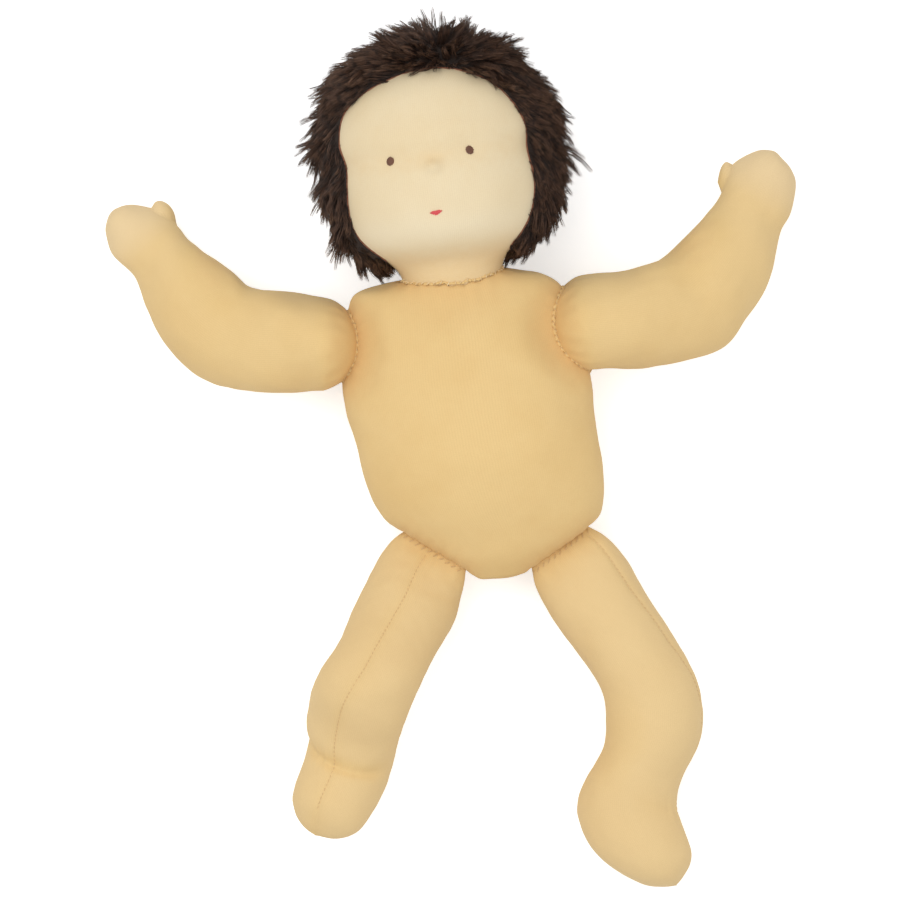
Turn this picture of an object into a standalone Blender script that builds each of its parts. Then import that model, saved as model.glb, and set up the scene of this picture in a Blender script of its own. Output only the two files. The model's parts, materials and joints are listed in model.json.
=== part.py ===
"""A stuffed cloth doll lying on its back: skins, wool fillings, tied inner head, wig and seams.

The doll faces +Z, its head is towards +Y and its left arm towards +X. Lengths are in metres.
Tables of shares are shares of the size that their comment names.
"""
import math

import bmesh
import bpy
from mathutils import Matrix, Vector
from mathutils.bvhtree import BVHTree

MM = 0.001

# Cloth, clearances and resting
CLOTH = 1.0 * MM
GAP = 0.35 * MM
JOINT_GAP = 0.4 * MM
REST_CUT = 0.5 * MM
WELD = 0.02 * MM
FLAT_WELD = 0.005 * MM

# Torso
TORSO_LENGTH = 138 * MM
TORSO_WIDTH = 111 * MM
TORSO_DEPTH = 70 * MM
TORSO_LOW_Y = -67.5 * MM
HIP_HEIGHT = 28 * MM

# Head and neck
NECK_RADIUS = 22.8 * MM
NECK_HEIGHT = 44 * MM
NECK_LIFT = 2 * MM
HEAD_WIDTH = 92 * MM
HEAD_DEPTH = 88 * MM
HEAD_LENGTH = 100 * MM
HEAD_HEIGHT = 49.5 * MM
HEAD_SIDE = -3 * MM
GAUZE = 0.8 * MM
EYE_TIE_DENT = 2.6 * MM
EYE_TIE_WIDTH = 2.0 * MM
EYE_TIE_SEAT = 0.8 * MM
TIE_THICKNESS = 0.8 * MM
NECK_TIE_DENT = 2.6 * MM
NECK_TIE_WIDTH = 1.4 * MM
NECK_TIE_SEAT = 1.2 * MM
NECK_ROLL_RADIUS = 8 * MM
NECK_BALL_RADIUS = 12 * MM
NECK_ROLL_LENGTH = 34 * MM
NOD_RELIEF = math.radians(19)
NOD_RELIEF_REACH_SHARE = 1.2

# Face
EYE_RADIUS = 1.9 * MM
MOUTH_WIDTH = 5.6 * MM
MOUTH_HEIGHT = 2.2 * MM
STITCH_RELIEF = 0.5 * MM
NOSE_WIDTH = 3.6 * MM
NOSE_HEIGHT = 2.4 * MM
NOSE_THICKNESS = 0.7 * MM
# Places across and along the face, as shares of the head's width and length
EYE_SHARES = {"right": -0.232, "left": 0.157}
EYE_ALONG_SHARE = 0.528
MOUTH_SHARES = (-0.041, 0.272)
NOSE_SHARES = (-0.028, 0.482)
# Rows of a thread cushion: share of its height and of its width
DOME_SHARES = ((0, 1.0), (0.45, 0.93), (0.85, 0.6))
DOME_SIDES = 12

# Wig
WIG_BACKING = 1.2 * MM
PILE_SIDE = 13 * MM
PILE_TOP = 14.5 * MM
PILE_BACK = 4.6 * MM
PILE_CLUMP = 1.2 * MM
PILE_CLUMPS = 5
PILE_LOW_SHARE = 0.45
PILE_LOW_ROWS = 3
PILE_BACK_POWER = 0.8
FACE_WIDTH = 83 * MM
FACE_LENGTH = 104 * MM
FACE_LOW_Y = 59 * MM
HAIR_PARTING_HEIGHT = 46 * MM
FACE_SQUARENESS = 2.4

# Arms
ARM_REACH = 109 * MM
ARM_RADIUS = 22 * MM
SHOULDER_HEIGHT = 34 * MM
ARM_LOWER_LIMIT = math.radians(30)
ARM_RAISE_LIMIT = math.radians(30)
THUMB_RADIUS = 4.5 * MM
THUMB_LENGTH = 7.5 * MM
# Rows of a thumb: share of its length from its root, and of its radius
THUMB_ROW_SHARES = ((-0.25, 0.95), (0.25, 1.0), (0.6, 0.95), (0.85, 0.65))
THUMB_ROOT_SHARE = 0.3
THUMB_SIDES = 10

# Legs
LEG_LENGTH = 158 * MM
LEG_RADIUS = 22 * MM
HIP_WIDTH = 40 * MM
HIP_NOSE = 6 * MM
HIP_RELIEF = math.radians(24)
HIP_RELIEF_REACH_SHARE = 1.65
HIP_RELIEF_WIDTH_SHARE = 0.68
THIGH_DROP = 12 * MM
SEAM_THREAD = 0.9 * MM
SEAM_STEPS_SHARES = (0, 0.33, 0.67)

# Stitches
STITCH_RADIUS = 0.45 * MM
STITCH_LENGTH = 3.0 * MM
STITCH_PITCH = 3.2 * MM
STITCH_OUT = 1.2 * MM
THREAD_GAP = 0.55 * MM
RIM_STEP = 0.5 * MM
RIM_STEPS = 100
NECK_STITCH_SPREAD = math.radians(110)
SHOULDER_STITCH_SPREAD = math.radians(110)
HIP_STITCH_SHARE = 0.8
HIP_STITCH_OUT = 4.8 * MM
STITCH_SIDES = 4
SEAM_SIDES = 6

# Rows: share of the torso's length, left and right edge as shares of its width,
# half depth as a share of its depth, height of the row's middle as a share of its depth
TORSO_SHARES = (
    (0.01, -0.08, 0.14, 0.10, 0.41),
    (0.03, -0.12, 0.20, 0.17, 0.40),
    (0.06, -0.17, 0.27, 0.24, 0.40),
    (0.10, -0.235, 0.36, 0.305, 0.40),
    (0.15, -0.315, 0.435, 0.36, 0.41),
    (0.21, -0.395, 0.465, 0.425, 0.43),
    (0.29, -0.45, 0.48, 0.47, 0.465),
    (0.39, -0.48, 0.48, 0.50, 0.493),
    (0.50, -0.50, 0.477, 0.50, 0.493),
    (0.61, -0.52, 0.48, 0.495, 0.488),
    (0.71, -0.52, 0.48, 0.46, 0.48),
    (0.80, -0.505, 0.465, 0.43, 0.49),
    (0.88, -0.48, 0.435, 0.395, 0.51),
    (0.94, -0.445, 0.395, 0.34, 0.53),
    (0.97, -0.40, 0.345, 0.27, 0.55),
    (0.99, -0.31, 0.25, 0.15, 0.57),
)
TORSO_SQUARENESS = 2.2

# Rows: share of the head's length above the neck ball's middle, half width and half depth
# as shares of the head's width and depth, height of the row's middle between neck and head
HEAD_SHARES = (
    (0.035, 0.268, 0.272, 0.15),
    (0.075, 0.325, 0.325, 0.35),
    (0.12, 0.39, 0.385, 0.60),
    (0.18, 0.44, 0.435, 0.80),
    (0.26, 0.475, 0.47, 0.95),
    (0.35, 0.49, 0.487, 1.0),
    (0.44, 0.49, 0.488, 1.0),
    (0.52, 0.474, 0.474, 1.0),
    (0.60, 0.498, 0.497, 1.0),
    (0.70, 0.475, 0.475, 1.0),
    (0.79, 0.425, 0.43, 1.0),
    (0.87, 0.35, 0.355, 1.0),
    (0.935, 0.255, 0.26, 1.0),
    (0.98, 0.145, 0.15, 1.0),
)
EYE_LINE_ROW = 7
NECK_TIE_ROW = 3
ANKLE_ROW = 8
ANKLE_STITCHES = 5
ANKLE_STITCH_TURN = math.radians(13)
NECK_DOME_ANGLES = tuple(math.radians(a) for a in (48, 62, 76, 90))
ARM_DOME_ANGLES = tuple(math.radians(a) for a in (35, 53, 72))

# Rows: upper and lower edge points from the shoulder's middle, outward and headward,
# and half depth, all as shares of the arm's reach
ARM_SHARES = {
    "right": (
        (0.02, 0.21, -0.01, -0.20, 0.20),
        (0.14, 0.24, 0.12, -0.19, 0.205),
        (0.23, 0.27, 0.27, -0.17, 0.21),
        (0.29, 0.34, 0.42, -0.12, 0.21),
        (0.34, 0.39, 0.53, -0.03, 0.205),
        (0.40, 0.44, 0.62, 0.10, 0.185),
        (0.45, 0.49, 0.66, 0.24, 0.16),
        (0.48, 0.54, 0.69, 0.37, 0.14),
        (0.51, 0.58, 0.73, 0.42, 0.13),
        (0.56, 0.62, 0.77, 0.47, 0.118),
        (0.63, 0.65, 0.79, 0.53, 0.10),
        (0.70, 0.66, 0.79, 0.58, 0.075),
        (0.73, 0.65, 0.77, 0.62, 0.04),
    ),
    "left": (
        (0.03, 0.20, 0.01, -0.20, 0.20),
        (0.17, 0.20, 0.19, -0.21, 0.205),
        (0.29, 0.23, 0.36, -0.20, 0.21),
        (0.36, 0.27, 0.49, -0.17, 0.21),
        (0.42, 0.32, 0.61, -0.07, 0.205),
        (0.49, 0.38, 0.69, 0.04, 0.185),
        (0.54, 0.42, 0.76, 0.16, 0.16),
        (0.58, 0.48, 0.80, 0.29, 0.14),
        (0.60, 0.53, 0.84, 0.34, 0.13),
        (0.64, 0.58, 0.87, 0.42, 0.118),
        (0.70, 0.61, 0.88, 0.49, 0.10),
        (0.76, 0.62, 0.86, 0.54, 0.075),
        (0.80, 0.61, 0.83, 0.58, 0.04),
    ),
}
# Half depth of the hand, which holds its middle off the surface, a share of the reach
HAND_SHARE = 0.118
# Thumb: where it leaves the hand and which way it points, shares of the arm's reach
THUMB_SHARES = {"right": ((0.545, 0.585), (-0.25, 0.97)), "left": ((0.61, 0.53), (-0.35, 0.94))}
# Shoulder places as shares of the torso's width and length, and rest angle of each arm
SHOULDER_SHARES = {"right": (-0.626, 0.834), "left": (0.532, 0.79)}
ARM_REST_ANGLE = {"right": math.radians(8), "left": math.radians(1)}

# Rows: front point and back point in the leg's side view, along the leg and forwards,
# and half width, all as shares of the leg's length
LEG_SHARES = (
    (0.153, 0.204, 0.213, -0.071, 0.140),
    (0.230, 0.233, 0.280, -0.044, 0.140),
    (0.344, 0.263, 0.358, -0.009, 0.139),
    (0.456, 0.288, 0.437, 0.011, 0.139),
    (0.525, 0.285, 0.493, 0.004, 0.136),
    (0.604, 0.259, 0.558, -0.020, 0.131),
    (0.661, 0.216, 0.609, -0.061, 0.127),
    (0.723, 0.164, 0.661, -0.109, 0.124),
    (0.772, 0.139, 0.722, -0.139, 0.124),
    (0.803, 0.140, 0.782, -0.140, 0.125),
    (0.842, 0.145, 0.847, -0.122, 0.125),
    (0.887, 0.150, 0.903, -0.088, 0.120),
    (0.926, 0.152, 0.956, -0.039, 0.108),
    (0.959, 0.138, 0.991, 0.013, 0.084),
    (0.990, 0.103, 1.000, 0.063, 0.045),
)
# Sewn root of a leg: place outward from the hip's line and half height, in hip noses,
# and half width as a share of the hip's width
HIP_ROOT_SHARES = ((-0.75, 0.66, 0.43), (0.0, 1.0, 0.48), (0.9, 1.35, 0.51), (1.9, 2.15, 0.53))
HIP_SHARES = {"right": (-0.243, 0.105), "left": (0.279, 0.064)}
HIP_LINE_ANGLE = {"right": math.radians(-38.7), "left": math.radians(30.4)}
LEG_ANGLE = {"right": math.radians(-120), "left": math.radians(-83)}
DRAWN_UP_SHARE = 0.82
DRAWN_UP_END_SHARE = 0.76
THIGH_DROP_END_SHARE = 0.35
ROOT_DROOP_SHARE = 0.4
FOOT_SHARE = 0.124

LIMB_SIDES = 16
BODY_SIDES = 24
HIP_SQUARENESS = 2.2
# How far a limb's tip lies past its last row, as a share of the last step
TIP_SHARE = 0.35
# Rows over which a limb's root changes into the limb
ROOT_ROWS = 4
# Where seam rays start, in half widths of the limb from its middle
RAY_START_SHARE = 2
SIDES = ("left", "right")
OUT = {"left": 1, "right": -1}


def material(name, color, roughness):
    """A plain cloth, wool or thread material."""
    made = bpy.data.materials.new(name)
    made.use_nodes = True
    shader = made.node_tree.nodes["Principled BSDF"]
    shader.inputs["Base Color"].default_value = (*color, 1)
    shader.inputs["Roughness"].default_value = roughness
    shader.inputs["Metallic"].default_value = 0
    made.diffuse_color = (*color, 1)
    return made


def pivot(name, place, parent=None):
    """An empty that a moving sub-assembly hangs on, at its joint."""
    made = bpy.data.objects.new(name, None)
    bpy.context.collection.objects.link(made)
    made.empty_display_size = STITCH_PITCH
    made.location = place - (Vector(parent["place"]) if parent else Vector())
    if parent:
        made.parent = parent
    made["place"] = place
    return made


def surface(mesh):
    """Something that rays can be cast at, of a mesh in doll space."""
    bm = bmesh.new()
    bm.from_mesh(mesh)
    tree = BVHTree.FromBMesh(bm)
    bm.free()
    return tree


def seat(tree, start, way):
    """Where a ray meets a surface, and the outward normal there."""
    point, normal, _, _ = tree.ray_cast(start, way)
    if point is None:
        return None
    return point, (normal if normal.dot(way) < 0 else -normal)


def thread(bm, points, radius, sides):
    """Adds a closed round thread along points."""
    grid = []
    for i, point in enumerate(points):
        way = (points[min(i + 1, len(points) - 1)] - points[max(i - 1, 0)]).normalized()
        side = way.orthogonal().normalized() if i == 0 else (side - way * side.dot(way)).normalized()
        grid.append(ring(point, side * radius, way.cross(side) * radius, sides))
    add_grid(bm, grid, points[-1], points[0])


def laid_thread(name, seats, radius, sides=STITCH_SIDES):
    """One thread laid on a surface over its seats."""
    bm = bmesh.new()
    found = [hit for hit in seats if hit]
    thread(bm, [p + n * (radius + THREAD_GAP) for p, n in found], radius, sides)
    return to_mesh(bm, name)


def rim_seat(tree, center, out, inward, reach):
    """The first seat outside a round socket, as level rays move inward from its middle."""
    for k in range(RIM_STEPS):
        hit = seat(tree, center + inward * k * RIM_STEP + out * TORSO_LENGTH, -out)
        if hit:
            off = hit[0] - center
            if off.length > reach and off.dot(out) > 0:
                return hit
    return None


def rim_stitches(name, tree, center, axis, radius, spread):
    """Zigzag hand stitches round a socket, on the piece that has the socket."""
    across = UP.cross(axis).normalized()
    count = 2 * round(spread * radius / STITCH_PITCH / 2)
    seats = []
    for k in range(count):
        turn = math.pi / 2 + spread * ((k + 0.5) / count - 0.5)
        slide = across * math.cos(turn) + UP * math.sin(turn)
        reach = radius + STITCH_OUT + (STITCH_LENGTH if k % 2 else 0)
        seats.append(rim_seat(tree, center, slide, -axis, reach))
    return laid_thread(name, seats, STITCH_RADIUS)


def link(name, mesh, look, carrier):
    """Makes a named piece of a mesh in doll space and hangs it on its carrier."""
    made = bpy.data.objects.new(name, mesh)
    bpy.context.collection.objects.link(made)
    mesh.materials.clear()
    mesh.materials.append(look)
    mesh.shade_smooth()
    mesh.transform(Matrix.Translation(-Vector(carrier["place"])))
    made.parent = carrier


def ring(middle, across, up, sides, power=2.0):
    """Points of a rounded outline about a middle, spanned by two half axes."""
    points = []
    for k in range(sides):
        turn = math.tau * k / sides
        c, s = math.cos(turn), math.sin(turn)
        points.append(middle + across * math.copysign(abs(c) ** (2 / power), c)
                      + up * math.copysign(abs(s) ** (2 / power), s))
    return points


def grid_normals(grid, tip):
    """Outward normals of a tube of rings whose last ring closes on a tip."""
    normals = []
    for i, row in enumerate(grid):
        before = grid[max(i - 1, 0)]
        after = grid[i + 1] if i + 1 < len(grid) else [tip] * len(row)
        around = len(row)
        line = []
        for k in range(around):
            along = after[k] - before[k]
            side = row[(k + 1) % around] - row[k - 1]
            line.append(side.cross(along).normalized())
        normals.append(line)
    middle = sum(grid[len(grid) // 2], Vector()) / len(grid[0])
    if normals[len(grid) // 2][0].dot(grid[len(grid) // 2][0] - middle) < 0:
        normals = [[-n for n in line] for line in normals]
    return normals


def shrink(grid, tip, depth):
    """The same tube of rings moved inwards by a depth, and its tip."""
    normals = grid_normals(grid, tip)
    smaller = [[p - n * depth for p, n in zip(row, line)] for row, line in zip(grid, normals)]
    last = sum(grid[-1], Vector()) / len(grid[-1])
    inward = (last - tip).normalized() if (last - tip).length > 0 else Vector((0, -1, 0))
    return smaller, tip + inward * depth


def thin(grid, step):
    """Every so many points of each ring, for a plainer inner piece."""
    return [row[::step] for row in grid]


def add_grid(bm, grid, tip=None, root=None):
    """Adds rings, the bands between them and fans to a tip or a root; gives the ring vertices."""
    rows = [[bm.verts.new(p) for p in row] for row in grid]
    for low, high in zip(rows, rows[1:]):
        for k in range(len(low)):
            n = (k + 1) % len(low)
            bm.faces.new((low[k], low[n], high[n], high[k]))
    for point, row in ((tip, rows[-1]), (root, rows[0])):
        if point is not None:
            end = bm.verts.new(point)
            for k in range(len(row)):
                bm.faces.new((row[k], row[(k + 1) % len(row)], end))
    return rows


def to_mesh(bm, name):
    """Closes a bmesh with its faces pointing out and makes it a mesh."""
    bmesh.ops.recalc_face_normals(bm, faces=bm.faces)
    if bm.calc_volume(signed=True) < 0:
        bmesh.ops.reverse_faces(bm, faces=bm.faces)
    bmesh.ops.triangulate(bm, faces=[f for f in bm.faces if len(f.verts) > 4])
    mesh = bpy.data.meshes.new(name)
    bm.to_mesh(mesh)
    bm.free()
    return mesh


def solid(name, grid, tip, root):
    """A closed body of rings with a fan at both ends."""
    bm = bmesh.new()
    add_grid(bm, grid, tip, root)
    return to_mesh(bm, name)


def shell(name, grid, tip, thickness):
    """A cloth sleeve: closed at its tip, open at its first ring."""
    inner, inner_tip = shrink(grid, tip, thickness)
    bm = bmesh.new()
    outer_rows = add_grid(bm, grid, tip)
    inner_rows = add_grid(bm, inner, inner_tip)
    rim_out, rim_in = outer_rows[0], inner_rows[0]
    for k in range(len(rim_out)):
        n = (k + 1) % len(rim_out)
        bm.faces.new((rim_out[k], rim_out[n], rim_in[n], rim_in[k]))
    return to_mesh(bm, name)


def joined(mesh, other, operation):
    """One mesh cut by, or joined to, another."""
    objects = []
    for part in (mesh, other):
        made = bpy.data.objects.new(part.name, part)
        bpy.context.collection.objects.link(made)
        objects.append(made)
    body, tool = objects
    change = body.modifiers.new("change", "BOOLEAN")
    change.operation = operation
    change.solver = "EXACT"
    change.object = tool
    bpy.context.view_layer.update()
    graph = bpy.context.evaluated_depsgraph_get()
    result = bpy.data.meshes.new_from_object(body.evaluated_get(graph))
    name = mesh.name
    for made in objects:
        bpy.data.objects.remove(made)
    bpy.data.meshes.remove(mesh)
    result.name = name
    return cleaned(result)


def cleaned(mesh):
    """Merges the slivers that a cut leaves."""
    bm = bmesh.new()
    bm.from_mesh(mesh)
    bmesh.ops.remove_doubles(bm, verts=bm.verts, dist=WELD)
    bmesh.ops.dissolve_degenerate(bm, edges=bm.edges, dist=WELD)
    bmesh.ops.triangulate(bm, faces=[f for f in bm.faces if len(f.verts) > 4])
    bm.to_mesh(mesh)
    bm.free()
    return mesh


def cut(mesh, *tools):
    """A mesh less each tool."""
    for tool in tools:
        mesh = joined(mesh, tool.copy(), "DIFFERENCE")
    return mesh


def cut_flat(mesh):
    """Cuts a piece off at the surface that the doll rests on."""
    bm = bmesh.new()
    bm.from_mesh(mesh)
    everything = bm.verts[:] + bm.edges[:] + bm.faces[:]
    bmesh.ops.bisect_plane(bm, geom=everything, dist=FLAT_WELD, plane_co=(0, 0, 0),
                           plane_no=(0, 0, -1), clear_outer=True)
    edges = [e for e in bm.edges if e.is_boundary]
    if edges:
        filled = bmesh.ops.holes_fill(bm, edges=edges)
        bmesh.ops.triangulate(bm, faces=filled["faces"])
    bmesh.ops.recalc_face_normals(bm, faces=bm.faces)
    bm.to_mesh(mesh)
    bm.free()
    return mesh


def ball(name, middle, radius, sides=BODY_SIDES):
    """A sphere."""
    bm = bmesh.new()
    bmesh.ops.create_uvsphere(bm, u_segments=sides, v_segments=sides // 2, radius=radius,
                              matrix=Matrix.Translation(middle))
    return to_mesh(bm, name)


def rod(name, start, end, radius, end_radius=None, sides=BODY_SIDES):
    """A round bar or cone between two points."""
    way = end - start
    turn = way.to_track_quat("Z", "Y").to_matrix().to_4x4()
    place = Matrix.Translation((start + end) / 2) @ turn
    bm = bmesh.new()
    bmesh.ops.create_cone(bm, cap_ends=True, segments=sides, radius1=radius,
                          radius2=radius if end_radius is None else end_radius,
                          depth=way.length, matrix=place)
    return to_mesh(bm, name)


def box(name, middle, axes, halves):
    """A block with its own axes."""
    bm = bmesh.new()
    bmesh.ops.create_cube(bm, size=2)
    frame = Matrix([axis * half for axis, half in zip(axes, halves)]).transposed().to_4x4()
    bmesh.ops.transform(bm, matrix=Matrix.Translation(middle) @ frame, verts=bm.verts)
    return to_mesh(bm, name)


def from_angle(angle):
    """A level direction."""
    return Vector((math.cos(angle), math.sin(angle), 0))


def blend(start, end, share):
    """A value part of the way from a start to an end, eased."""
    share = min(max(share, 0), 1)
    return start + (end - start) * share * share * (3 - 2 * share)


UP = Vector((0, 0, 1))
HEADWARD = Vector((0, 1, 0))
NECK = Vector((HEAD_SIDE, TORSO_LOW_Y + TORSO_LENGTH + NECK_LIFT, NECK_HEIGHT))
SHOULDER = {s: Vector((SHOULDER_SHARES[s][0] * TORSO_WIDTH,
                       TORSO_LOW_Y + SHOULDER_SHARES[s][1] * TORSO_LENGTH, SHOULDER_HEIGHT))
            for s in SIDES}
HIP = {s: Vector((HIP_SHARES[s][0] * TORSO_WIDTH,
                  TORSO_LOW_Y + HIP_SHARES[s][1] * TORSO_LENGTH, HIP_HEIGHT)) for s in SIDES}
HIP_LINE = {s: from_angle(HIP_LINE_ANGLE[s]) for s in SIDES}
HIP_OUT = {s: HIP_LINE[s].cross(UP) for s in SIDES}
ARM_WAY = {"left": from_angle(ARM_REST_ANGLE["left"]),
           "right": from_angle(math.pi - ARM_REST_ANGLE["right"])}


def torso_grid():
    """Rings of the torso from its lower edge to its shoulders."""
    grid = []
    for along, left, right, half, lift in TORSO_SHARES:
        middle = Vector(((left + right) / 2 * TORSO_WIDTH, TORSO_LOW_Y + along * TORSO_LENGTH,
                         lift * TORSO_DEPTH))
        grid.append(ring(middle, Vector(((right - left) / 2 * TORSO_WIDTH, 0, 0)),
                         Vector((0, 0, half * TORSO_DEPTH)), BODY_SIDES, TORSO_SQUARENESS))
    return grid


def torso_ends():
    """Lower and upper end points of the torso."""
    first, last = TORSO_SHARES[0], TORSO_SHARES[-1]
    low = Vector(((first[1] + first[2]) / 2 * TORSO_WIDTH, TORSO_LOW_Y, first[4] * TORSO_DEPTH))
    high = Vector(((last[1] + last[2]) / 2 * TORSO_WIDTH, TORSO_LOW_Y + TORSO_LENGTH,
                   last[4] * TORSO_DEPTH))
    return low, high


def socket_tools():
    """What the neck, the arms and the legs take out of the torso."""
    tools = [ball("neck socket", NECK, NECK_RADIUS + JOINT_GAP)]
    reach = TORSO_WIDTH / 2
    for side in SIDES:
        radius = ARM_RADIUS + JOINT_GAP
        tools.append(ball("arm socket", SHOULDER[side], radius))
        for turn in (-ARM_LOWER_LIMIT, 0, ARM_RAISE_LIMIT):
            way = Matrix.Rotation(turn * OUT[side], 3, "Z") @ ARM_WAY[side]
            tools.append(rod("arm sweep", SHOULDER[side], SHOULDER[side] + way * reach, radius))
        line, out = HIP_LINE[side], HIP_OUT[side]
        span = line * (HIP_ROOT_SHARES[1][2] * HIP_WIDTH + JOINT_GAP)
        tools.append(rod("hip socket", HIP[side] - span, HIP[side] + span,
                         HIP_NOSE + JOINT_GAP))
        tools.append(box("hip edge", HIP[side] + out * (TORSO_DEPTH - JOINT_GAP),
                         (line, out, UP), (HIP_WIDTH, TORSO_DEPTH, TORSO_DEPTH)))
        # Room in front for the leg's root as the leg is raised
        lean = Matrix.Rotation(-HIP_RELIEF, 3, line)
        up, away = lean @ UP, lean @ out
        reach = HIP_NOSE * HIP_RELIEF_REACH_SHARE
        half = HIP_ROOT_SHARES[2][2] * HIP_WIDTH * HIP_RELIEF_WIDTH_SHARE
        tools.append(box("hip turn", HIP[side] + up * reach / 2 + away * (reach - JOINT_GAP),
                         (line, away, up), (half, reach, reach / 2)))
    return tools


def make_torso(looks, carrier):
    """Torso skin and wool filling, with the sockets of neck, arms and legs."""
    grid = torso_grid()
    low, high = torso_ends()
    tools = socket_tools()
    outer = solid("torso_skin", grid, high, low)
    inner_grid, inner_high = shrink(grid, high, CLOTH)
    inner_low = low + HEADWARD * CLOTH
    hollow = solid("torso hollow", thin(inner_grid, 2), inner_high, inner_low)
    skin = joined(outer, hollow, "DIFFERENCE")
    skin = cut_flat(cut(skin, *tools))
    filling_grid, filling_high = shrink(grid, high, CLOTH + GAP)
    filling = solid("torso_filling", thin(filling_grid, 2), filling_high,
                    low + HEADWARD * (CLOTH + GAP))
    shaft = rod("neck hole", NECK - HEADWARD * (NECK_ROLL_LENGTH + GAP), NECK,
                NECK_ROLL_RADIUS + JOINT_GAP)
    filling = cut(filling, *tools, shaft)
    torso_stitches(surface(skin), looks, carrier)
    link("torso_skin", skin, looks["skin"], carrier)
    link("torso_filling", filling, looks["wool"], carrier)


def torso_stitches(tree, looks, carrier):
    """Hand stitches beside the neck, both shoulders and both hips, on the torso's side."""
    mesh = rim_stitches("neck_stitches", tree, NECK, HEADWARD, NECK_RADIUS + JOINT_GAP,
                        NECK_STITCH_SPREAD)
    link("neck_stitches", mesh, looks["seam"], carrier)
    for side in SIDES:
        name = side + "_shoulder_stitches"
        mesh = rim_stitches(name, tree, SHOULDER[side], ARM_WAY[side], ARM_RADIUS + JOINT_GAP,
                            SHOULDER_STITCH_SPREAD)
        link(name, mesh, looks["seam"], carrier)
        seats = []
        count = round(HIP_WIDTH / STITCH_PITCH)
        for k in range(count + 1):
            along = HIP_LINE[side] * (k / count - 0.5) * HIP_WIDTH * HIP_STITCH_SHARE
            deep = HIP_OUT[side] * (HIP_STITCH_OUT + (STITCH_LENGTH if k % 2 else 0))
            start = HIP[side] + along - deep + UP * TORSO_DEPTH
            seats.append(seat(tree, start, -UP))
        name = side + "_hip_stitches"
        link(name, laid_thread(name, seats, STITCH_RADIUS), looks["seam"], carrier)


def limb_tip(grid):
    """The rounded end point past a limb's last row."""
    before, last = [sum(row, Vector()) / len(row) for row in grid[-2:]]
    return last + (last - before) * TIP_SHARE


def make_arm(side, looks, carrier):
    """One arm: skin with its thumb, and filling."""
    flip = OUT[side]
    way = ARM_WAY[side]
    middle = SHOULDER[side]
    across = UP.cross(way) * flip
    grid = []
    for angle in ARM_DOME_ANGLES:
        grid.append(ring(middle - way * ARM_RADIUS * math.cos(angle),
                         across * ARM_RADIUS * math.sin(angle),
                         UP * ARM_RADIUS * math.sin(angle), LIMB_SIDES))
    rows = ARM_SHARES[side]
    for k, (tx, ty, bx, by, half) in enumerate(rows):
        top = Vector((flip * tx, ty, 0)) * ARM_REACH
        low = Vector((flip * bx, by, 0)) * ARM_REACH
        rest = max(half, HAND_SHARE) * ARM_REACH - REST_CUT
        height = blend(SHOULDER_HEIGHT, rest, k / ROOT_ROWS)
        center = Vector((middle.x, middle.y, height)) + (top + low) / 2
        grid.append(ring(center, (top - low) / 2, UP * half * ARM_REACH, LIMB_SIDES))
    tip = limb_tip(grid)
    inner, inner_tip = shrink(grid, tip, CLOTH)
    skin = shell(side + "_arm_skin", grid, tip, CLOTH)
    (rx, ry), (px, py) = THUMB_SHARES[side]
    root = middle + Vector((flip * rx, ry, 0)) * ARM_REACH
    root.z = HAND_SHARE * ARM_REACH
    point = Vector((flip * px, py, 0)).normalized()
    thumb = thumb_mesh(root, point)
    thumb = cut(thumb, solid("hand hollow", inner, inner_tip, middle - way * ARM_RADIUS))
    skin = cut_flat(joined(skin, thumb, "UNION"))
    fill, fill_tip = shrink(grid, tip, CLOTH + GAP)
    root_pole = middle - way * (ARM_RADIUS - CLOTH - GAP)
    filling = solid(side + "_arm_filling", thin(fill, 2), fill_tip, root_pole)
    link(side + "_arm_skin", skin, looks["skin"], carrier)
    link(side + "_arm_filling", filling, looks["wool"], carrier)


def thumb_mesh(root, point):
    """A short rounded thumb that starts inside the hand."""
    bm = bmesh.new()
    across = UP.cross(point)
    grid = []
    for along, wide in THUMB_ROW_SHARES:
        grid.append(ring(root + point * THUMB_LENGTH * along, across * THUMB_RADIUS * wide,
                         UP * THUMB_RADIUS * wide, THUMB_SIDES))
    add_grid(bm, grid, root + point * THUMB_LENGTH, root - point * THUMB_LENGTH * THUMB_ROOT_SHARE)
    return to_mesh(bm, "thumb")


def leg_grid(side):
    """Rings of a leg: its flat sewn root, then its side view, rolled out on the left."""
    hip, line, out = HIP[side], HIP_LINE[side], HIP_OUT[side]
    grid = []
    for along, half, wide in HIP_ROOT_SHARES:
        droop = blend(0, 1, along / HIP_ROOT_SHARES[-1][0])
        height = HIP_HEIGHT + (LEG_RADIUS - REST_CUT - HIP_HEIGHT) * droop * ROOT_DROOP_SHARE
        middle = hip + out * along * HIP_NOSE
        middle.z = height
        grid.append(ring(middle, line * wide * HIP_WIDTH, UP * half * HIP_NOSE, LIMB_SIDES,
                         HIP_SQUARENESS))
    down = from_angle(LEG_ANGLE[side])
    for fu, fn, bu, bn, wide in LEG_SHARES:
        half = wide * LEG_LENGTH
        if side == "left":
            front = down * fu + UP.cross(down) * fn
            back = down * bu + UP.cross(down) * bn
            middle = hip + (front + back) / 2 * LEG_LENGTH
            middle.z = max(half, FOOT_SHARE * LEG_LENGTH) - REST_CUT
            grid.append(ring(middle, (front - back) / 2 * LEG_LENGTH, UP * half, LIMB_SIDES))
        else:
            front = down * drawn_up(fu) + UP * fn
            back = down * drawn_up(bu) + UP * bn
            middle = hip + (front + back) / 2 * LEG_LENGTH
            middle.z -= blend(THIGH_DROP, 0, (fu - LEG_SHARES[0][0]) / THIGH_DROP_END_SHARE)
            grid.append(ring(middle, UP.cross(down) * half, (front - back) / 2 * LEG_LENGTH,
                             LIMB_SIDES))
    return grid


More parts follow.
